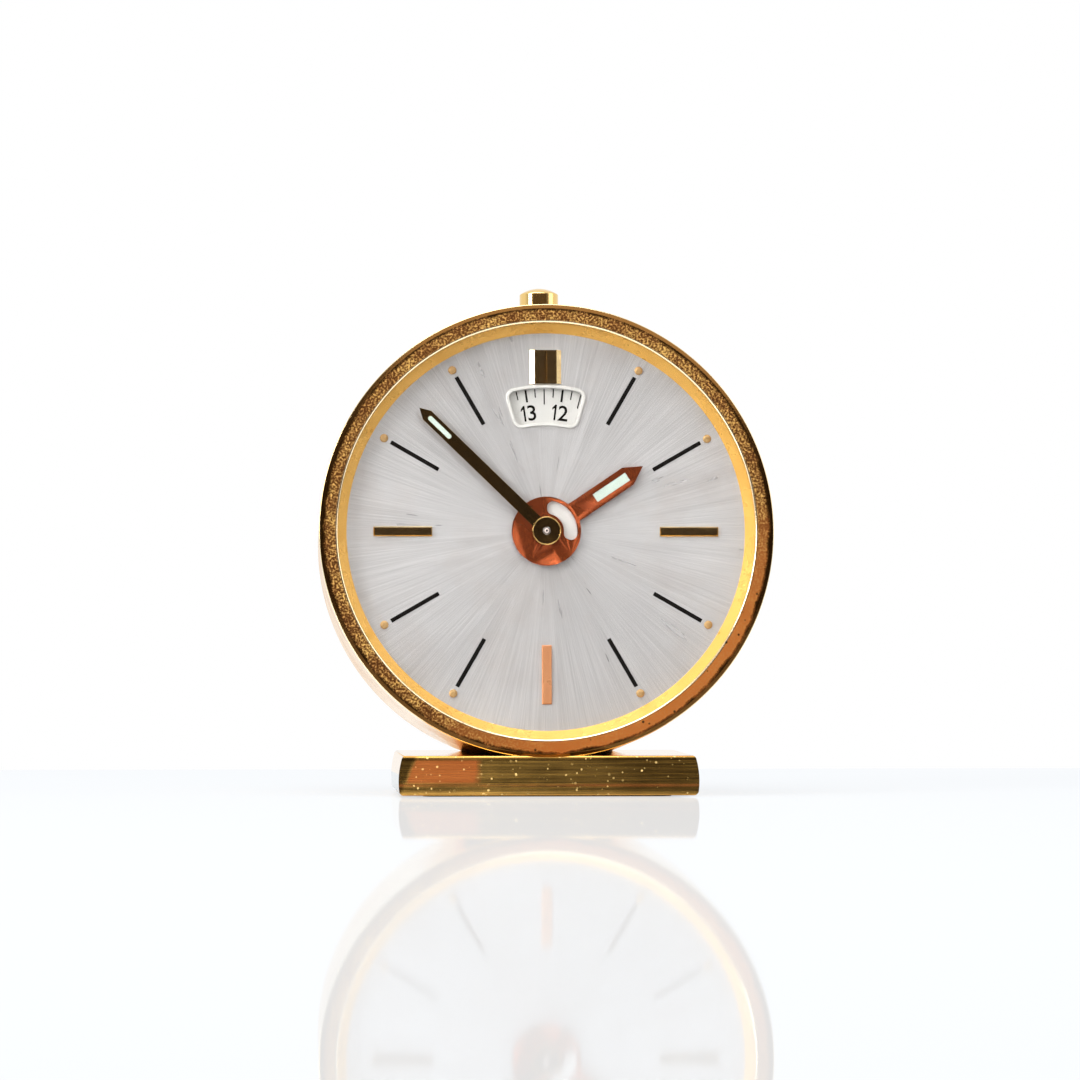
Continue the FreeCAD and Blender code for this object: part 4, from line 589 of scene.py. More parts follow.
def bezel_gold(tints, sizes):
    """Plating worn to golden grains over dark metal, but smooth along both of its edges, with
    painted highlights on both edges and a painted warm reflection at the lower right.
    """
    made, shader, here = new_finish("bezel_gold")
    where = in_drum_frame(here)
    parts = where.apart()
    flat = add(where.tree, "CombineXYZ", {"X": parts["X"], "Z": parts["Z"]})
    radius, outer = vector("LENGTH", flat)["Value"], sizes.bezel_r
    fine = where.grain(3300, 2.0)
    patches = where.grain(330)
    # lip: the opening's rounded edge and inner wall, painted cream (255, 232, 190) as a highlight
    lip = radius.spread(sizes.opening_r + 0.34 * MM, sizes.opening_r + 0.26 * MM)
    inside = (radius + patches * (1.3 * MM)).spread(outer + 0.05 * MM, outer - 0.4 * MM)
    inside = inside * (1.0 - lip)
    # bottom: the lower right of the bezel, where a warm reflection is painted in orange and the
    # grains thin out
    bottom = maths("COSINE", maths("ARCTAN2", parts["Z"], parts["X"]) + 0.98).spread(0.4, 0.85)
    cover = (fine + patches * 0.3).spread(0.6, 0.8) * inside * (1.0 - bottom * 0.75)
    worn = blend(patches.spread(0.35, 0.65), tints.copper, tints.gold)
    grains = blend(0.62, worn, dim(tints.gold, 0.66))
    # Smooth outer band: dark brown on the face, with a painted highlight in cream on the rounded
    # outer edge and side
    rim_band_and_highlight = blend(radius.spread(outer - 0.12 * MM, outer - 0.06 * MM), tone(100, 68, 32),
                 tone(252, 226, 172))
    dark = [0.2 * c + 0.05 * g for c, g in zip(tints.copper, tints.gold)]
    # The cream on the lip is a painted highlight; the outer band ends in a painted highlight
    ground = blend(lip, blend(inside, rim_band_and_highlight, dark), tone(255, 232, 190))
    # Painted warm reflection: orange (218, 128, 60) over the lower right
    ground = blend(bottom * inside, ground, tone(218, 128, 60))
    pit = where.cells(700.0, 0.10, 0.16, 0.55, 0.57) * bottom
    feed(shader, {"Base Color": blend(pit, blend(cover, ground, grains), tints.tarnish),
                  "Roughness": cover * 0.2 + (inside * 0.16 + 0.14),
                  "Metallic": 0.97 - (cover * 0.44 + inside * 0.2)})
    bump(shader, fine, 0.3, 0.04 * MM)
    return made


def plain_metal(tints, name, base, second=None, wear=0.25, roughness=0.2, metallic=1.0,
                specks=0.0):
    """Polished metal with faint clouds, fine pits, some wear and light specks."""
    made, shader, here = new_finish(name)
    clouds = here.grain(140, 4.0)
    colour = blend(clouds.spread(0.4, 0.7) * wear, base, second or dim(tints.copper, 0.8))
    if specks:
        speck = here.cells(1900.0, 0.1, 0.22, 1 - specks, 1.02 - specks)
        colour = blend(speck, colour, tints.gold)
        metallic = maths("SUBTRACT", metallic, speck * 0.5, clamp=True)
    feed(shader, {"Base Color": colour, "Metallic": metallic,
                  "Roughness": clouds.spread(0.3, 0.7, roughness * 0.8, roughness * 1.35)})
    bump(shader, here.grain(2200, 2.0, 0.5), 0.08, 0.02 * MM)
    return made


def foot_gold(tints):
    """Bar with a brushed front dimmed as a painted dark reflection, darker towards the right and
    at the left end, a warm reflection painted as a copper patch on the left, pits, and polished
    top and ends.
    """
    made, shader, where = new_finish("foot_gold")
    along, up = where.apart()["X"], where.apart()["Z"]
    facing = add(where.tree, "NewGeometry")["Normal"].apart()["Y"]
    front = maths("ABSOLUTE", facing).spread(0.5, 0.85)
    lines = vector("MULTIPLY", where, (70, 600, 4200)).grain(1.0)
    clouds = where.grain(130, 4.0)
    ragged = along + clouds * (3.5 * MM)
    slope = ragged + up * -0.35
    # Painted warm reflection: a patch on the left of the front, coloured copper
    reflection_patch = (ragged.spread(-9.2 * MM, -7.9 * MM, 1, 0) * slope.spread(-19.3 * MM, -18.6 * MM)
             * (up.spread(1.7 * MM, 2.2 * MM) * up.spread(5.1 * MM, 5.6 * MM, 1, 0)))
    rose = (up.spread(1.35 * MM, 1.6 * MM) * up.spread(1.75 * MM, 2.0 * MM, 1, 0)
            * clouds.spread(0.38, 0.6, 0.25, 1.0))
    specks = add(where.tree, "TexVoronoi", {"Vector": where, "Scale": 1500.0})
    spot = specks["Distance"] + where.grain(2400, 1.0, 0.5) * 0.28
    pit = spot.spread(0.36, 0.46, 1, 0) * specks["Color"].spread(0.46, 0.48) * front
    shade = (lines * 0.75 + clouds * 0.5).spread(0.47, 0.78)
    # Painted dark reflection: the front and back take dimmed gold while top and ends keep bright
    # gold
    dark = blend(shade, dim(tints.gold, 0.22), dim(tints.gold, 0.6))
    # Darker still towards the right half and at the left end
    darker_right_and_left_end = maths("MAXIMUM", ragged.spread(-7 * MM, 15 * MM, 0.0, 0.62),
                      slope.spread(-19.6 * MM, -18.9 * MM, 0.7, 0))
    dark = blend(darker_right_and_left_end, dark, dim(tints.tarnish, 0.5))
    # Copper tint over the painted reflection patch and over the rose band low on the front
    copper = maths("MAXIMUM", reflection_patch * 0.86, rose * 0.45) * facing.spread(-0.5, -0.85)
    ground = blend(copper, blend(front, tints.gold, dark), tints.copper)
    feed(shader, {"Base Color": blend(pit, ground, tone(240, 205, 130)),
                  "Roughness": lines.spread(0.3, 0.7, 0.12, 0.24) * front + 0.07 + pit * 0.4,
                  "Metallic": 1.0 - maths("MAXIMUM", copper, pit) * 0.4})
    bump(shader, (lines + where.grain(2600, 2.0) * 0.4) * front, 0.12, 0.03 * MM)
    return made


def dial_silver(tints):
    """Silver with fine brushing that runs out from the centre."""
    made, shader, here = new_finish("dial_silver")
    where = in_drum_frame(here)
    fine = streaks(where, 170.0, 75.0, 1.5)
    broad = streaks(where, 9.0, 75.0, 3.0)
    shade = (fine + broad * 0.22).spread(0.42, 0.8)
    base = blend(shade, dim(tints.silver, 0.85), dim(tints.silver, 1.07))
    aged = where.grain(95, 4.0).spread(0.52, 0.72) * 0.22
    axis = add(here.tree, "CombineXYZ", {"Y": HAND_AXIS.y, "Z": HAND_AXIS.z})
    round_it = vector("CROSS_PRODUCT", axis, vector("SUBTRACT", here, DRUM.translation))
    feed(shader, {"Base Color": blend(aged, base, tone(205, 190, 180)), "Metallic": 0.5,
                  "Roughness": broad.spread(0.3, 0.7, 0.27, 0.36), "Anisotropic": 0.8,
                  "Tangent": round_it})
    return made


def turned_gold(tints):
    """Gold cover faced on a lathe, with fine rings round its middle and a few rubbed spots."""
    made, shader, here = new_finish("turned_gold")
    where = in_drum_frame(here)
    rings = streaks(where, 2.2, 3600.0, 2.0)
    base = blend(rings.spread(0.3, 0.7), dim(tints.gold, 0.78), tints.gold)
    worn = where.grain(70, 4.0).spread(0.5, 0.72) * 0.3
    feed(shader, {"Base Color": blend(worn, base, dim(tints.copper, 0.8)), "Metallic": 1,
                  "Roughness": rings.spread(0.3, 0.7, 0.2, 0.32)})
    bump(shader, rings, 0.1, 0.03 * MM)
    return made


def enamel(name, colour, roughness=0.35, gloss=0.5):
    """Smooth paint with a faint unevenness."""
    made, shader, here = new_finish(name)
    clouds = here.grain(400, 3.0, 0.5)
    feed(shader, {"Base Color": blend(clouds.spread(0.3, 0.7), dim(colour, 0.93), colour),
                  "Roughness": clouds.spread(0.3, 0.7, roughness * 0.8, roughness * 1.2),
                  "Specular IOR Level": gloss})
    bump(shader, here.grain(3000, 2.0), 0.05, 0.01 * MM)
    return made


def day_and_night(tints, angle):
    """Disc painted white for the day and dark blue for the night."""
    made, shader, here = new_finish("day_and_night")
    where = in_drum_frame(here)
    parts = where.apart()
    day = parts["X"] * math.sin(angle) + parts["Z"] * math.cos(angle)
    clouds = where.grain(500).spread(0.3, 0.7, 0.0, 0.12)
    white = blend(clouds, tints.white, dim(tints.white, 0.8))
    share = day.spread(-0.03 * MM, 0.03 * MM)
    feed(shader, {"Base Color": blend(share, tone(22, 28, 52), white), "Roughness": 0.4})
    return made


def movement_metal(name, colour, roughness):
    """Machined metal of the movement with fine tool marks."""
    made, shader, here = new_finish(name)
    marks = here.grain(900, 4.0, 0.7)
    feed(shader, {"Base Color": blend(marks.spread(0.3, 0.7), dim(colour, 0.8), colour),
                  "Roughness": marks.spread(0.3, 0.7, roughness * 0.75, roughness * 1.3),
                  "Metallic": 1})
    bump(shader, marks, 0.08, 0.02 * MM)
    return made


def felt_green(tints):
    """Felt with light and dark fibres."""
    made, shader, here = new_finish("felt_green")
    fibre = here.grain(1500, 6.0, 0.8)
    colour = blend(fibre.spread(0.3, 0.7), dim(tints.felt, 0.5), dim(tints.felt, 1.5))
    feed(shader, {"Base Color": colour, "Roughness": 0.95, "Sheen Weight": 0.4})
    bump(shader, fibre, 0.6, 0.15 * MM)
    return made


def clear_crystal():
    """Clear sheet that lets light straight through for shadows."""
    made, shader, here = new_finish("clear_crystal")
    smears = here.grain(60, 3.0, 0.5)
    feed(shader, {"Roughness": smears.spread(0.4, 0.7, 0.0, 0.02), "Transmission Weight": 1,
                  "IOR": 1.45})
    show(add(here.tree, "MixShader", {0: add(here.tree, "LightPath")["Is Shadow Ray"],
                                      1: Value(shader.outputs[0]),
                                      2: add(here.tree, "BsdfTransparent")}))
    return made


FINISHES = {}


def mix_finishes(tints, case, hands):
    """Make every finish once."""
    def metal(*looks, **more):
        return plain_metal(tints, *looks, **more)

    FINISHES.update(
        bezel=bezel_gold(tints, case),
        case=metal("case_gold", tints.gold, wear=0.3, roughness=0.16),
        slope=metal("ring_gold", tone(255, 198, 98), wear=0.02, roughness=0.26, metallic=0.35),
        button=metal("button_gold", tone(242, 206, 132), wear=0.08, roughness=0.12),
        back=turned_gold(tints),
        foot=foot_gold(tints),
        glass=clear_crystal(),
        dial=dial_silver(tints),
        frame=enamel("frame_enamel", tints.white, 0.25),
        disc=enamel("disc_enamel", dim(tints.white, 0.9), 0.5),
        ink=enamel("printing_ink", tints.ink, 0.6, gloss=0.12),
        lume=enamel("luminous_paint", tints.lume, 0.6),
        marker=metal("marker_gold", tone(240, 212, 158), tints.tarnish, 0.55, 0.1, specks=0.16),
        dots=metal("dot_gold", tone(206, 168, 112), None, 0.1, 0.35, 0.4),
        six=metal("marker_copper", tone(236, 166, 116), tints.copper, 0.3, 0.3, 0.4,
                  specks=0.1),
        minute=metal("minute_bronze", tone(150, 120, 70), tints.tarnish, 0.7, 0.14,
                     specks=0.08),
        hour=metal("hour_copper", tone(172, 82, 40), tone(128, 54, 26), 0.8, 0.24, 0.75,
                   specks=0.06),
        tip=metal("tip_polish", tone(255, 236, 226), tints.copper, 0.1, 0.2, 0.35),
        day=day_and_night(tints, hands.hour_angle),
        brass=movement_metal("movement_brass", tints.brass, 0.28),
        steel=movement_metal("movement_steel", tints.steel, 0.22),
        spring=movement_metal("spring_steel", dim(tints.steel, 0.6), 0.3),
        felt=felt_green(tints),
        rubber=enamel("gasket_rubber", tints.rubber, 0.7),
    )


SLOT_FINISH = {
    "gold_plate": "case", "crystal_glass": "glass", "black_gasket": "rubber",
    "green_felt": "felt", "dial_silver": "dial", "frame_white": "frame",
    "marker_gold": "marker", "hand_bronze": "minute", "lume": "lume", "day_night": "day",
    "disc_white": "disc", "movement_brass": "brass", "movement_steel": "steel",
    "spring_steel": "spring",
}


class FinishSolids(bpy.types.Operator):
    """Make the finishes and give them to the solids of the movement and the case"""
    bl_idname = "desk_clock.finishes"
    bl_label = "Finishes"

    def execute(self, context):
        scene = context.scene
        mix_finishes(scene.clock_tints, scene.clock_case, scene.clock_hands)
        for solid in frame["nodes"].values():
            for place in solid.material_slots:
                slot = place.material.name.split(".")[0]
                place.material = FINISHES[SLOT_FINISH[slot]]
        return {"FINISHED"}


class Foot(bpy.types.Operator):
    """Bar foot with its cradle, and the felt pad under it"""
    bl_idname = "desk_clock.foot"
    bl_label = "Foot"
    LEVELS = 8                  # rows of faces up the bulging ends
    PAD_CORNER = 2 * MM
    PAD_EDGE = 0.12 * MM

    def execute(self, context):
        size, case = context.scene.clock_foot, context.scene.clock_case
        front = DRUM.translation.y - size.ahead
        half = (size.top_w + size.bottom_w) / 4
        bar = edit(block("foot_bar", (-half, front, size.low),
                         (half, front + size.depth, size.high)))
        pick_long(bar, 2, size.edge)
        bpy.ops.mesh.subdivide(number_cuts=self.LEVELS - 1)
        for level in range(self.LEVELS + 1):
            rise = level / self.LEVELS
            height = size.low + (size.high - size.low) * rise
            wide = (size.bottom_w + (size.top_w - size.bottom_w) * rise) / 2
            wide += size.bulge * 4 * rise * (1 - rise)
            pick(bar, "VERT", lambda p: near(p.z, height))
            bpy.ops.transform.resize(value=(wide / half, 1, 1), center_override=(0, 0, 0))
        pick(bar, "EDGE", lambda p: near(p.z, size.high))
        bevel_picked(size.edge, 3)
        pick(bar, "EDGE", lambda p: near(p.z, size.low))
        bevel_picked(size.foot_edge, 6)
        closed(bar)
        cradle = turned("cradle_tool", [
            (case.bezel_r + PLAY, -size.ahead - PAST), (case.bezel_r + PLAY, case.bezel_depth),
            (case.case_r + PLAY, case.bezel_depth), (case.case_r + PLAY, size.depth + 5 * PAST)],
            solid=True, steps=256)
        combine(bar, in_drum(cradle))
        middle = front + size.depth / 2
        pad_half = Vector((size.pad_w, size.pad_depth, 0)) / 2
        centre = Vector((0, middle, 0))
        pocket = block("pocket_tool", centre - pad_half - Vector((0, 0, PAST)),
                       centre + pad_half + Vector((0, 0, size.pad_thick)))
        combine(bar, pocket)
        finished(bar, "case", "foot", "base_bar", leans=False)
        inside = pad_half - Vector((PLAY, PLAY, 0))
        pad = edit(block("felt_sheet", centre - inside,
                         centre + inside + Vector((0, 0, size.pad_thick - PLAY))))
        pick_long(pad, 2, PLAY)
        bevel_picked(self.PAD_CORNER, 6)
        closed(pad)
        soften(pad, self.PAD_EDGE, 2, 60)
        finished(pad, "case", "felt", "felt_pad", leans=False)
        return {"FINISHED"}


class Case(bpy.types.Operator):
    """Drum, bezel and the sloping ring inside it"""
    bl_idname = "desk_clock.case"
    bl_label = "Case"
    INNER_EDGE = 0.24 * MM      # rounding round the bezel's opening
    OUTER_EDGE = 0.14 * MM
    ROLL = 0.14 * MM            # how far the bezel's rim falls back
    SEAT_W = 1.04 * MM          # width of the bezel's seat for glass and gasket
    WELL_R = 3.42 * MM          # hole for the button's bush
    WELL_DEEP = 6 * MM
    LEDGE_R, LEDGE_FRONT, LEDGE_BACK = 29.6 * MM, 25.6 * MM, 26.6 * MM
    SHOULDER_R, SHOULDER_BACK = 28.0 * MM, 7.5 * MM

    def execute(self, context):
        size, dial = context.scene.clock_case, context.scene.clock_dial
        sleeve, seat = size.sleeve_r + PLAY, size.opening_r + self.SEAT_W
        bezel = turned("bezel_ring", [
            *rim(size.opening_r, 0, -1, 1, self.INNER_EDGE, 5)[::-1],
            (size.bezel_r - size.bezel_edge * 1.7, 0),
            (size.bezel_r - size.bezel_edge * 1.1, self.ROLL * 0.3),
            *rim(size.bezel_r, self.ROLL, 1, 1, self.OUTER_EDGE),
            (size.bezel_r, size.bezel_depth), (sleeve, size.bezel_depth),
            (sleeve, size.glass_back), (seat, size.glass_back), (seat, size.lip),
            (size.opening_r, size.lip)])
        finished(bezel, "case", "bezel", "bezel")
        front = size.glass_back + PLAY
        step = size.bezel_depth + PLAY
        end, bore = size.case_end, size.bore_r
        drum = turned("case_shell", [
            (bore, front), (size.sleeve_r, front), (size.sleeve_r, step),
            (size.case_r, step), (size.case_r, end - size.case_edge),
            *rim(size.case_r, end, 1, -1, size.case_edge, 5)[::-1][1:],
            (bore, end), (bore, self.LEDGE_BACK), (self.LEDGE_R, self.LEDGE_BACK),
            (self.LEDGE_R, self.LEDGE_FRONT), (bore, self.LEDGE_FRONT),
            (bore, self.SHOULDER_BACK), (self.SHOULDER_R, self.SHOULDER_BACK),
            (self.SHOULDER_R, dial.back), (bore, dial.back)])
        leave_all()
        bpy.ops.mesh.primitive_cylinder_add(vertices=64, radius=self.WELL_R,
                                            depth=self.WELL_DEEP,
                                            location=(0, size.button_at, size.case_r))
        combine(drum, named("well_tool"))
        finished(drum, "case", "case", "case_drum")
        slope = turned("slope_ring", [
            (size.opening_r - PLAY, front), (bore - PLAY, front),
            (bore - PLAY, dial.front), (size.sight_r, dial.front)])
        finished(slope, "case", "slope", "rehaut_ring")
        return {"FINISHED"}


class Glass(bpy.types.Operator):
    """Crystal held behind the bezel's lip"""
    bl_idname = "desk_clock.glass"
    bl_label = "Glass"
    BEVEL = 0.1 * MM

    def execute(self, context):
        size = context.scene.clock_case
        sheet = turned("crystal_sheet", [
            (size.glass_r - self.BEVEL, size.lip), (size.glass_r, size.lip + self.BEVEL),
            (size.glass_r, size.glass_back)], solid=True)
        finished(sheet, "case", "glass", "crystal")
        return {"FINISHED"}


class Button(bpy.types.Operator):
    """Alarm button on top of the case, and the spring that it presses"""
    bl_idname = "desk_clock.button"
    bl_label = "Button"
    EDGE = 0.1 * MM
    PIN_R, PIN_FOOT = 1.0 * MM, 25.9 * MM
    CROWN = (0.93, 0.85, 0.75, 0.62, 0.48, 0.34, 0.2, 0.08)  # rings of the domed top

    def execute(self, context):
        size = context.scene.clock_case
        crown_r = (size.button_r ** 2 + size.button_crown ** 2) / (2 * size.button_crown)
        shoulder = size.button_top - size.button_crown
        outline = [(self.PIN_R, self.PIN_FOOT), (self.PIN_R, size.button_foot),
                   (size.button_r, size.button_foot), (size.button_r, shoulder - self.EDGE),
                   (size.button_r - self.EDGE * 0.35, shoulder)]
        crown_top = size.button_top - crown_r
        for share in self.CROWN:
            radius = size.button_r * share
            outline.append((radius, crown_top + math.sqrt(crown_r ** 2 - radius ** 2)))
        cap = turned("button_cap", outline, solid=True, steps=96)
        settled(cap, (0, size.button_at, 0), (math.pi / 2, 0, 0))
        finished(cap, "button", "button", "alarm_button")
        leave_all()
        wire = bpy.data.objects.new("spring_coil", frame["nodes"]["button_spring"].data.copy())
        bpy.context.collection.objects.link(wire)
        coil = closed(edit(wire))
        finished(coil, "case", "spring", "button_spring", leans=False)
        heights = [(DRUM.inverted() @ v.co).z for v in coil.data.vertices]
        press = next(j for j in frame["joints"] if j["name"] == "button_press")
        travel = max(abs(end) for end in press["range_m"])
        1 - travel / (max(heights) - min(heights))
        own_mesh(coil)
        return {"FINISHED"}


class Dial(bpy.types.Operator):
    """Dial plate with its window, and the printed hour lines"""
    bl_idname = "desk_clock.dial"
    bl_label = "Dial"
    LINE_EDGE = 0.005 * MM

    def execute(self, context):
        size = context.scene.clock_dial
        face = turned("dial_face", [(size.bore_r, size.front), (size.plate_r, size.front),
                                    (size.plate_r, size.back), (size.bore_r, size.back)])
        window = arc_plate("window_tool", size.window_in, size.window_out, size.window_half,
                           size.window_corner, size.front - PAST, size.back + PAST)
        combine(face, window)
        finished(face, "case", "dial", "dial_plate")
        line = block("hour_line", (-size.line_w / 2, size.front - INK,
                                   size.line_mid - size.line_l / 2),
                     (size.line_w / 2, size.front, size.line_mid + size.line_l / 2))
        soften(line, self.LINE_EDGE, 1, 60)
        for hour in PLAIN_HOURS:
            copy = moved(copied(line, f"hour_line_{hour}"), math.radians(30 * hour))
            finished(copy, "case", "ink")
        bpy.data.objects.remove(line)
        return {"FINISHED"}


class WindowFrame(bpy.types.Operator):
    """Raised white frame round the alarm window"""
    bl_idname = "desk_clock.window_frame"
    bl_label = "Window Frame"
    EDGE = 0.11 * MM

    def execute(self, context):
        size = context.scene.clock_dial
        margin = size.frame_w / ((size.window_in + size.window_out) / 2)
        rim_piece = arc_plate("window_rim", size.window_in - size.frame_w,
                              size.window_out + size.frame_w, size.window_half + margin,
                              size.window_corner + size.frame_w, size.front - size.frame_h,
                              size.front)
        hole = arc_plate("rim_tool", size.window_in, size.window_out, size.window_half,
                         size.window_corner, size.front - PAST, size.front + PAST)
        combine(rim_piece, hole)
        soften(rim_piece, self.EDGE, 3, 50)
        finished(rim_piece, "case", "frame", "window_frame")
        return {"FINISHED"}


class Markers(bpy.types.Operator):
    """Batons at 3, 6 and 9, the block at 12 and the domed dots"""
    bl_idname = "desk_clock.markers"
    bl_label = "Markers"
    GROOVE_HALF, GROOVE_DEEP = 0.19 * MM, 0.17 * MM
    GROOVE_FLOOR = 0.05         # width of the groove's floor as a share of its mouth
    SHARP = math.radians(20)    # keeps the block's slopes apart from its face

    def bar(self, name, width, low, high, front, height, bevel, ends=True):
        piece = edit(block(name, (-width / 2, front - height, low), (width / 2, front, high)))
        if ends:
            pick(piece, "EDGE", lambda p: near(p.y, front - height))
            bevel_picked(bevel)
        else:
            pick(piece, "FACE", lambda p: near(p.y, front - height))
            bpy.ops.transform.resize(value=(1 - 2 * bevel / width, 1, 1),
                                     center_override=(0, front - height, 0))
        return closed(piece)

    def execute(self, context):
        size = context.scene.clock_dial
        baton = self.bar("baton", size.baton_w, size.baton_mid - size.baton_l / 2,
                         size.baton_mid + size.baton_l / 2, size.front, size.baton_h,
                         size.baton_bevel)
        for hour in (3, 6, 9):
            copy = moved(copied(baton, f"baton_{hour}"), math.radians(30 * hour))
            finished(copy, "case", "six" if hour == 6 else "marker",
                     "hour_markers")
        bpy.data.objects.remove(baton)
        twelve = self.bar("twelve_block", size.twelve_w, size.twelve_in, size.twelve_out,
                          size.front, size.twelve_h, size.twelve_bevel, ends=False)
        face = size.front - size.twelve_h
        groove = edit(block(
            "groove_tool", (-self.GROOVE_HALF, face - 0.01 * MM, size.twelve_in - PAST),
            (self.GROOVE_HALF, face + self.GROOVE_DEEP, size.twelve_out + PAST)))
        pick(groove, "FACE", lambda p: p.y > face + self.GROOVE_DEEP / 2)
        bpy.ops.transform.resize(value=(self.GROOVE_FLOOR, 1, 1))
        combine(twelve, closed(groove))
        finished(twelve, "case", "marker", "twelve_marker", smooth=self.SHARP)
        dome = size.dot_h * 0.8
        top = size.front - size.dot_h
        outline = [(size.dot_r, size.front), (size.dot_r, top + dome)]
        for step in range(1, 6):
            bend = math.pi / 2 * step / 6
            outline.append((size.dot_r * math.cos(bend), top + dome * (1 - math.sin(bend))))
        dot = turned("dot", outline, solid=True, steps=32)
        for hour in PLAIN_HOURS:
            copy = moved(copied(dot, f"dot_{hour}"), 0,
                         at_clock(size.dot_ring, math.radians(30 * hour)))
            finished(copy, "case", "dots", "hour_markers")
        bpy.data.objects.remove(dot)
        return {"FINISHED"}


class AlarmScale(bpy.types.Operator):
    """Ticks and the 24 numerals printed on the alarm disc"""
    bl_idname = "desk_clock.alarm_scale"
    bl_label = "Alarm Scale"
    SPACE = 0.27 * MM           # between two figures of a number
    INK = 0.01 * MM
    AT_MARK = 12.5              # hour that stands at the middle of the window
    SET_BACK = math.radians(-0.5)
    TICKS = ((0.3, 1.8), (0.17, 1.25), (0.17, 2.3), (0.17, 1.25))  # width, length

    def digit(self, figure, size):
        """One figure as a mesh, centred on the alarm disc's radius for numerals."""
        face, stroke = size.disc_front, 0.27 * MM
        if figure == "1":
            low, high = size.digit_r - size.digit_h / 2, size.digit_r + size.digit_h / 2
            reach = 0.62 * MM
            outline = [(0, low), (stroke, low), (stroke, high), (0.06 * MM, high),
                       (-reach + stroke, high - 0.5 * MM), (-reach + stroke, high - 0.82 * MM),
                       (0, high - 0.5 * MM)]
            return plate("figure", outline[::-1], face - self.INK, face)
        leave_all()
        bpy.ops.object.text_add(rotation=(math.pi / 2, 0, 0))
        text = bpy.context.object
        text.data.body = figure
        text.data.align_x = "CENTER"
        text.data.size = size.digit_h * 1.37
        text.data.resolution_u = 4
        text.data.extrude = self.INK / 2
        text.data.offset = 0.035 * MM
        bpy.ops.object.convert(target="MESH")
        obj = named("figure")
        places = [v.co.copy() for v in obj.data.vertices]
        low, high = min(p.z for p in places), max(p.z for p in places)
        middle = (min(p.x for p in places) + max(p.x for p in places)) / 2
        return settled(obj, (-middle, face - self.INK / 2, size.digit_r - (low + high) / 2))

    def execute(self, context):
        size = context.scene.clock_dial
        face = size.disc_front
        rows = [block("tick", (-width / 2 * MM, face - self.INK, size.tick_out - reach * MM),
                      (width / 2 * MM, face, size.tick_out)) for width, reach in self.TICKS]
        ticks = [moved(copied(rows[step % 4], f"tick_{step}"),
                       math.radians((self.AT_MARK * 4 - step) * 3.75) + self.SET_BACK)
                 for step in range(96)]
        for tick in rows:
            bpy.data.objects.remove(tick)
        ring = joined(ticks)
        ring.name = ring.data.name = "alarm_ticks"
        finished(ring, "alarm_disc", "ink")
        for hour in range(1, 25):
            digits = [self.digit(figure, size) for figure in str(hour)]
            widths = [obj.dimensions.x for obj in digits]
            left = -(sum(widths) + self.SPACE * (len(digits) - 1)) / 2
            for obj, wide in zip(digits, widths):
                settled(obj, (left + wide / 2, 0, 0))
                left += wide + self.SPACE
            joined(digits)
            number = named(f"numeral_{hour}")
            moved(number, math.radians((self.AT_MARK - hour) * 15) + self.SET_BACK)
            finished(number, "alarm_disc", "ink")
        return {"FINISHED"}


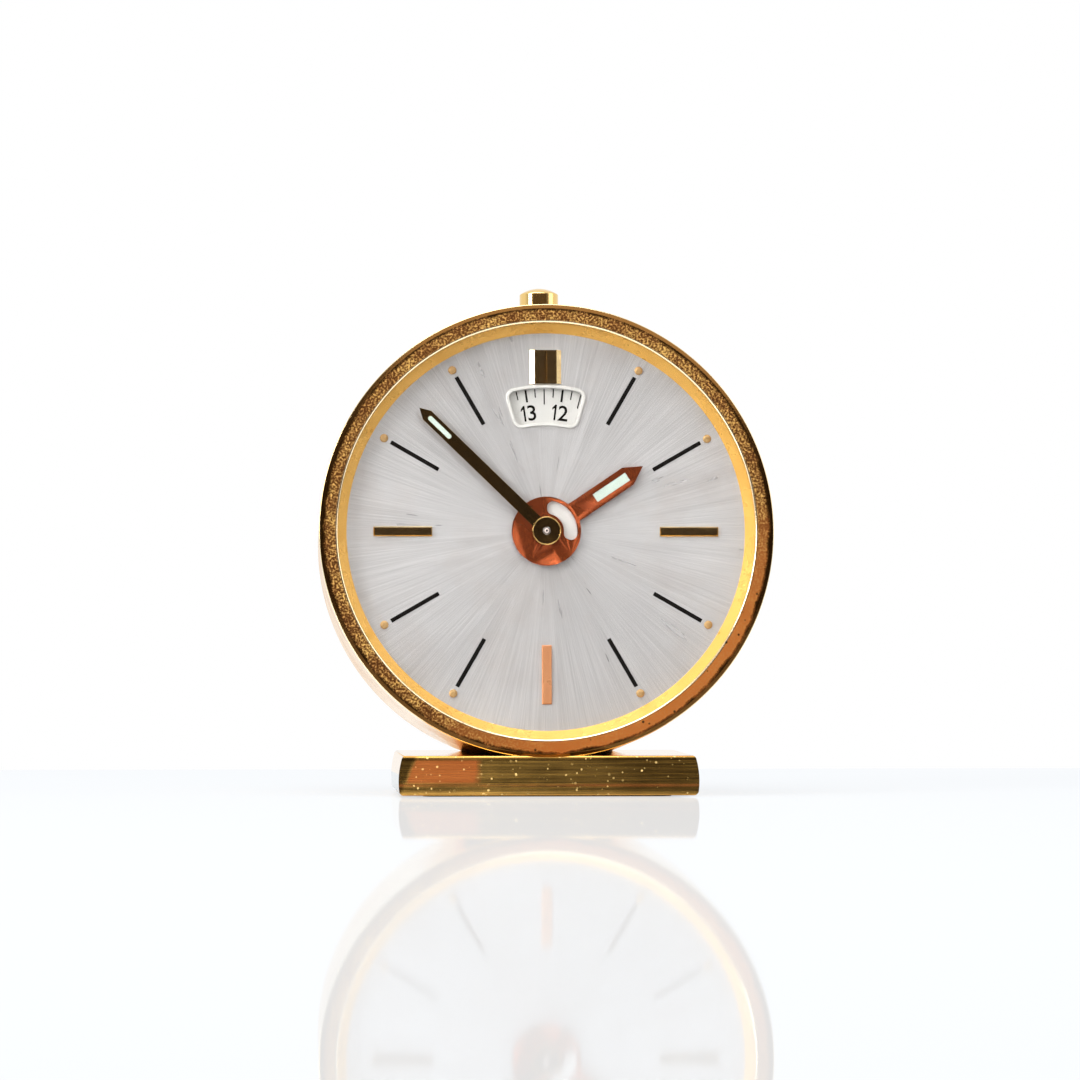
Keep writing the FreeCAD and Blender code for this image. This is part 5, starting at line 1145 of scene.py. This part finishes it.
class Hands(bpy.types.Operator):
    """Minute and hour hands with their luminous inlays"""
    bl_idname = "desk_clock.hands"
    bl_label = "Hands"
    EDGE = 0.06 * MM
    INLAY_EDGE = 0.03 * MM
    INLAY_DOWN = 0.03 * MM      # how far an inlay lies below the hand's face
    INLAY_THINNER = 0.04 * MM
    BORE_R = 1.5 * MM
    TIP_HOLE = 0.13 * MM

    def pointer(self, name, long, wide, head, front, thick):
        piece = edit(block(name, (-wide / 2, front, 0), (wide / 2, front + thick, long - head)))
        pick(piece, "FACE", lambda p: near(p.z, long - head))
        bpy.ops.mesh.extrude_region_move(TRANSFORM_OT_translate={"value": (0, 0, head)})
        bpy.ops.transform.resize(value=(0, 1, 1), center_override=(0, 0, long))
        return closed(piece)

    def inlay(self, name, long, wide, low, front, thick, corner):
        piece = edit(block(name, (-wide / 2, front, low), (wide / 2, front + thick, low + long)))
        if corner:
            pick_long(piece, 1, thick / 2)
            bevel_picked(corner, 6)
        return closed(piece)

    def execute(self, context):
        size = context.scene.clock_hands
        front, thick = size.minute_front, size.thick
        low = size.minute_l - size.minute_lume_in - size.minute_lume_l
        round_end = size.minute_lume_w * 0.49
        hand = self.pointer("minute_pointer", size.minute_l, size.minute_w, size.minute_head,
                            front, thick)
        combine(hand, self.inlay("slot_tool", size.minute_lume_l, size.minute_lume_w, low,
                                 front - PAST, 3 * PAST, round_end))
        soften(hand, self.EDGE, 2, 50)
        hub_floor = size.hub_front + 0.12 * MM
        rim_in = size.hub_r - size.hub_rim
        hub = turned("minute_hub", [
            (rim_in, front + thick), (rim_in, hub_floor), (size.tip_r, hub_floor + 0.1 * MM),
            (size.tip_r, front + thick)], steps=96)
        combine(hand, hub, "UNION")
        moved(hand, size.minute_angle)
        finished(hand, "minute", "minute", "minute_hand")
        edge = size.hub_rim / 2
        collet = turned("hub_rim", [
            (rim_in, front - PLAY), (rim_in, size.hub_front + edge),
            *rim(rim_in, size.hub_front, -1, 1, edge, 4)[::-1][1:],
            *rim(size.hub_r, size.hub_front, 1, 1, edge, 4)[1:],
            (size.hub_r, front - PLAY)], steps=96)
        finished(collet, "minute", "button", "minute_hand")
        hole = self.TIP_HOLE
        tip = turned("arbor_tip", [
            (hole, hub_floor + 0.2 * MM), (hole, hub_floor - 0.04 * MM),
            (hole + 0.06 * MM, size.hub_front - 0.06 * MM),
            (size.tip_r * 0.62, size.hub_front - 0.02 * MM),
            (size.tip_r * 0.85, size.hub_front + 0.05 * MM),
            (size.tip_r - PLAY / 2, hub_floor + 0.03 * MM),
            (size.tip_r - PLAY / 2, hub_floor + 0.2 * MM)], steps=64)
        finished(tip, "minute", "tip")
        lume = self.inlay("minute_inlay", size.minute_lume_l, size.minute_lume_w, low,
                          front + self.INLAY_DOWN, thick - self.INLAY_THINNER, round_end)
        soften(moved(lume, size.minute_angle), self.INLAY_EDGE, 2, 60)
        finished(lume, "minute", "lume", "minute_lume")

        front = size.hour_front
        low = size.hour_l - size.hour_lume_in - size.hour_lume_l
        hand = self.pointer("hour_pointer", size.hour_l, size.hour_w, size.hour_head, front,
                            thick)
        disc = turned("hour_disc", [(size.hour_disc, front), (size.hour_disc, front + thick)],
                      solid=True, steps=128)
        combine(hand, disc, "UNION")
        combine(hand, self.inlay("slot_tool", size.hour_lume_l, size.hour_lume_w, low,
                                 front - PAST, 3 * PAST, 0))
        crescent = arc_plate("crescent_tool", size.crescent_mid - size.crescent_w / 2,
                             size.crescent_mid + size.crescent_w / 2, size.crescent_half,
                             size.crescent_w * 0.45, front - PAST, front + thick + PAST)
        combine(hand, crescent)
        bore = turned("bore_tool", [(self.BORE_R, front - PAST),
                                    (self.BORE_R, front + thick + PAST)],
                      solid=True, steps=64)
        combine(hand, bore)
        soften(hand, self.EDGE, 2, 50)
        moved(hand, size.hour_angle)
        finished(hand, "hour", "hour", "hour_hand")
        lume = self.inlay("hour_inlay", size.hour_lume_l, size.hour_lume_w, low,
                          front + self.INLAY_DOWN, thick - self.INLAY_THINNER, 0)
        soften(moved(lume, size.hour_angle), self.INLAY_EDGE, 2, 60)
        finished(lume, "hour", "lume", "hour_lume")
        return {"FINISHED"}


class Back(bpy.types.Operator):
    """Back cover with its holes and the arrows that show which way to turn"""
    bl_idname = "desk_clock.back"
    bl_label = "Back Cover"
    EDGE = 0.3 * MM
    KEY_HOLE, KNOB_HOLE = 1.29 * MM, 0.89 * MM
    KEY_ARROW, KNOB_ARROW = 9.3 * MM, 5.0 * MM  # distance from the arbor's middle
    ARROW_W, ARROW_HALF = 0.5 * MM, math.radians(24)
    GROOVE_IN, GROOVE_HALF, GROOVE_DEEP = 1.5 * MM, 0.2 * MM, 0.15 * MM

    def execute(self, context):
        size = context.scene.clock_back
        cover = turned("rear_cover", [
            (size.cover_r, size.cover_front),
            (size.cover_r, size.cover_back - self.EDGE),
            *rim(size.cover_r, size.cover_back, 1, -1, self.EDGE)[::-1][1:]], solid=True)
        key, knob = (self.KEY_HOLE, self.KEY_ARROW), (self.KNOB_HOLE, self.KNOB_ARROW)
        for node, (radius, reach) in (("winding_key", key), ("alarm_key", key),
                                      ("hand_set_knob", knob), ("alarm_set_knob", knob)):
            at = DRUM.inverted() @ (sum(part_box(node), Vector()) / 2)
            tool = turned("hole_tool", [(radius, size.cover_front - PAST),
                                        (radius, size.cover_back + PAST)],
                          solid=True, steps=48)
            combine(cover, moved(tool, 0, (at.x, at.z)))
            arrow = plate(f"arrow_of_{node}", arrow_outline(reach, self.ARROW_W, self.ARROW_HALF),
                          size.cover_back - INK, size.cover_back + INK)
            finished(moved(arrow, 0, (at.x, at.z)), "case", "ink")
        groove_r = size.cover_r - self.GROOVE_IN
        groove = turned("groove_tool", [
            (groove_r, size.cover_back - self.GROOVE_DEEP),
            (groove_r + self.GROOVE_HALF, size.cover_back + PAST),
            (groove_r - self.GROOVE_HALF, size.cover_back + PAST)])
        combine(cover, groove)
        finished(cover, "case", "back", "back_cover")
        return {"FINISHED"}


class Stage(bpy.types.Operator):
    """Floor, soft lamps, white surroundings and the camera"""
    bl_idname = "desk_clock.stage"
    bl_label = "Stage"
    CLOCK_MIDDLE = Vector((0, 0, 0.035))
    LENS = 172.6                # focal length, for a picture 36 mm wide

    def floor(self, tints):
        leave_all()
        bpy.ops.mesh.primitive_plane_add(size=1, location=(0, -0.38, 0), scale=(1, 1, 1))
        table = edit(named("table_top"))
        bpy.ops.transform.resize(value=(3.0, 1.0, 1), center_override=(0, -0.38, 0))
        bpy.ops.object.mode_set(mode="OBJECT")
        made, shader, here = new_finish("table_gloss")
        tree = made.node_tree
        clouds = here.grain(6.0, 3.0, 0.5).spread(0.3, 0.7)
        feed(shader, {"Base Color": blend(clouds, dim(tints.floor, 0.99), tints.floor),
                      "Roughness": 0.6, "Specular IOR Level": 0})
        glow = add(tree, "Emission", {"Color": (1.0, 0.985, 0.97), "Strength": 0.96})
        mirror = add(tree, "BsdfGlossy", {"Color": (0.78, 0.89, 1.0), "Roughness": 0.03})
        seen = add(tree, "LightPath")["Is Camera Ray"]
        share = add(tree, "Mix", {0: seen, 2: add(tree, "Fresnel", {"IOR": 1.45}), 3: 0.27})
        lit = add(tree, "MixShader", {0: seen * 0.85, 1: Value(shader.outputs[0]), 2: glow})
        show(add(tree, "MixShader", {0: share, 1: lit, 2: mirror}))
        table.data.materials.append(made)

    def surroundings(self, scene):
        world = bpy.data.worlds.new("white_room")
        world.use_nodes = True
        scene.world = world
        tree = world.node_tree
        way = add(tree, "TexCoord")["Generated"].apart()
        bright = maths("MAXIMUM", way["Y"].spread(-0.75, 0.1), way["Z"].spread(0.25, 0.85))
        mirrored = blend(bright, (0.085, 0.058, 0.035), (1.0, 1.0, 1.0))
        path = add(tree, "LightPath")
        sharp = maths("MAXIMUM", path["Is Glossy Ray"], path["Is Transmission Ray"])
        soft = blend(sharp, (0.5, 0.5, 0.5), mirrored)
        feed(tree.nodes["Background"], {"Color": blend(path["Is Camera Ray"], soft, (1, 1, 1)),
                                        "Strength": 1})

    def lamp(self, name, place, size, power):
        leave_all()
        aim = (self.CLOCK_MIDDLE - Vector(place)).to_track_quat("-Z", "Y").to_euler()
        bpy.ops.object.light_add(type="AREA", location=place, rotation=aim)
        light = bpy.context.object
        light.name = name
        light.data.shape = "RECTANGLE"
        light.data.size, light.data.size_y = size
        light.data.energy = power

    def camera(self, scene):
        """The eye stands a little left of the clock's normal, low over the table."""
        swing, eye_height, distance = math.radians(3.5), 0.025, 0.745
        ahead = Vector((math.sin(swing), math.cos(swing), 0))
        right = Vector((ahead.y, -ahead.x, 0))
        front = DRUM.translation
        eye = front - ahead * distance
        eye.z = eye_height
        aim = front - right * 1.03 * MM - Vector((0, 0, 1.42 * MM))
        turn_to = (aim - eye).to_track_quat("-Z", "Y").to_euler()
        bpy.ops.object.camera_add(location=eye, rotation=turn_to)
        eye_object = bpy.context.object
        eye_object.name = "camera"
        eye_object.data.lens = self.LENS
        eye_object.data.sensor_width = 36
        eye_object.data.clip_start = 0.01
        scene.camera = eye_object

    def execute(self, context):
        scene = context.scene
        self.floor(scene.clock_tints)
        self.surroundings(scene)
        self.lamp("top_softbox", (-0.1, -0.15, 0.75), (0.6, 0.5), 4.6)
        self.lamp("front_softbox", (0.1, -0.62, 0.5), (0.7, 0.3), 1.5)
        self.lamp("left_softbox", (-0.66, -0.42, 0.3), (0.25, 0.35), 3.9)
        self.lamp("right_softbox", (0.7, -0.2, 0.35), (0.4, 0.6), 1.4)
        self.camera(scene)
        scene.view_settings.view_transform = "Standard"
        return {"FINISHED"}


STEPS = (FinishSolids, Foot, Case, Glass, Button, Dial, WindowFrame, Markers, AlarmScale, Hands,
         Back, Stage)
SIZE_GROUPS = {"clock_case": CaseSizes, "clock_dial": DialSizes, "clock_hands": HandSizes,
               "clock_foot": FootSizes, "clock_back": BackSizes, "clock_tints": Tints}


class ClockPanel(bpy.types.Panel):
    """Lists the clock's pieces in the sidebar"""
    bl_idname = "VIEW3D_PT_desk_clock"
    bl_label = "Desk Clock"
    bl_space_type = "VIEW_3D"
    bl_region_type = "UI"
    bl_category = "Clock"

    def draw(self, context):
        for step in STEPS:
            self.layout.operator(step.bl_idname)
        for group, kind in SIZE_GROUPS.items():
            box = self.layout.box()
            for key in kind.__annotations__:
                box.prop(getattr(context.scene, group), key)


def register():
    for kind in (*SIZE_GROUPS.values(), *STEPS, ClockPanel):
        bpy.utils.register_class(kind)
    for group, kind in SIZE_GROUPS.items():
        setattr(bpy.types.Scene, group, bpy.props.PointerProperty(type=kind))


def unregister():
    for group in SIZE_GROUPS:
        delattr(bpy.types.Scene, group)
    for kind in (ClockPanel, *reversed(STEPS), *SIZE_GROUPS.values()):
        bpy.utils.unregister_class(kind)


def main():
    register()
    for step in STEPS:
        category, name = step.bl_idname.split(".")
        getattr(getattr(bpy.ops, category), name)()


if __name__ == "__main__":
    main()
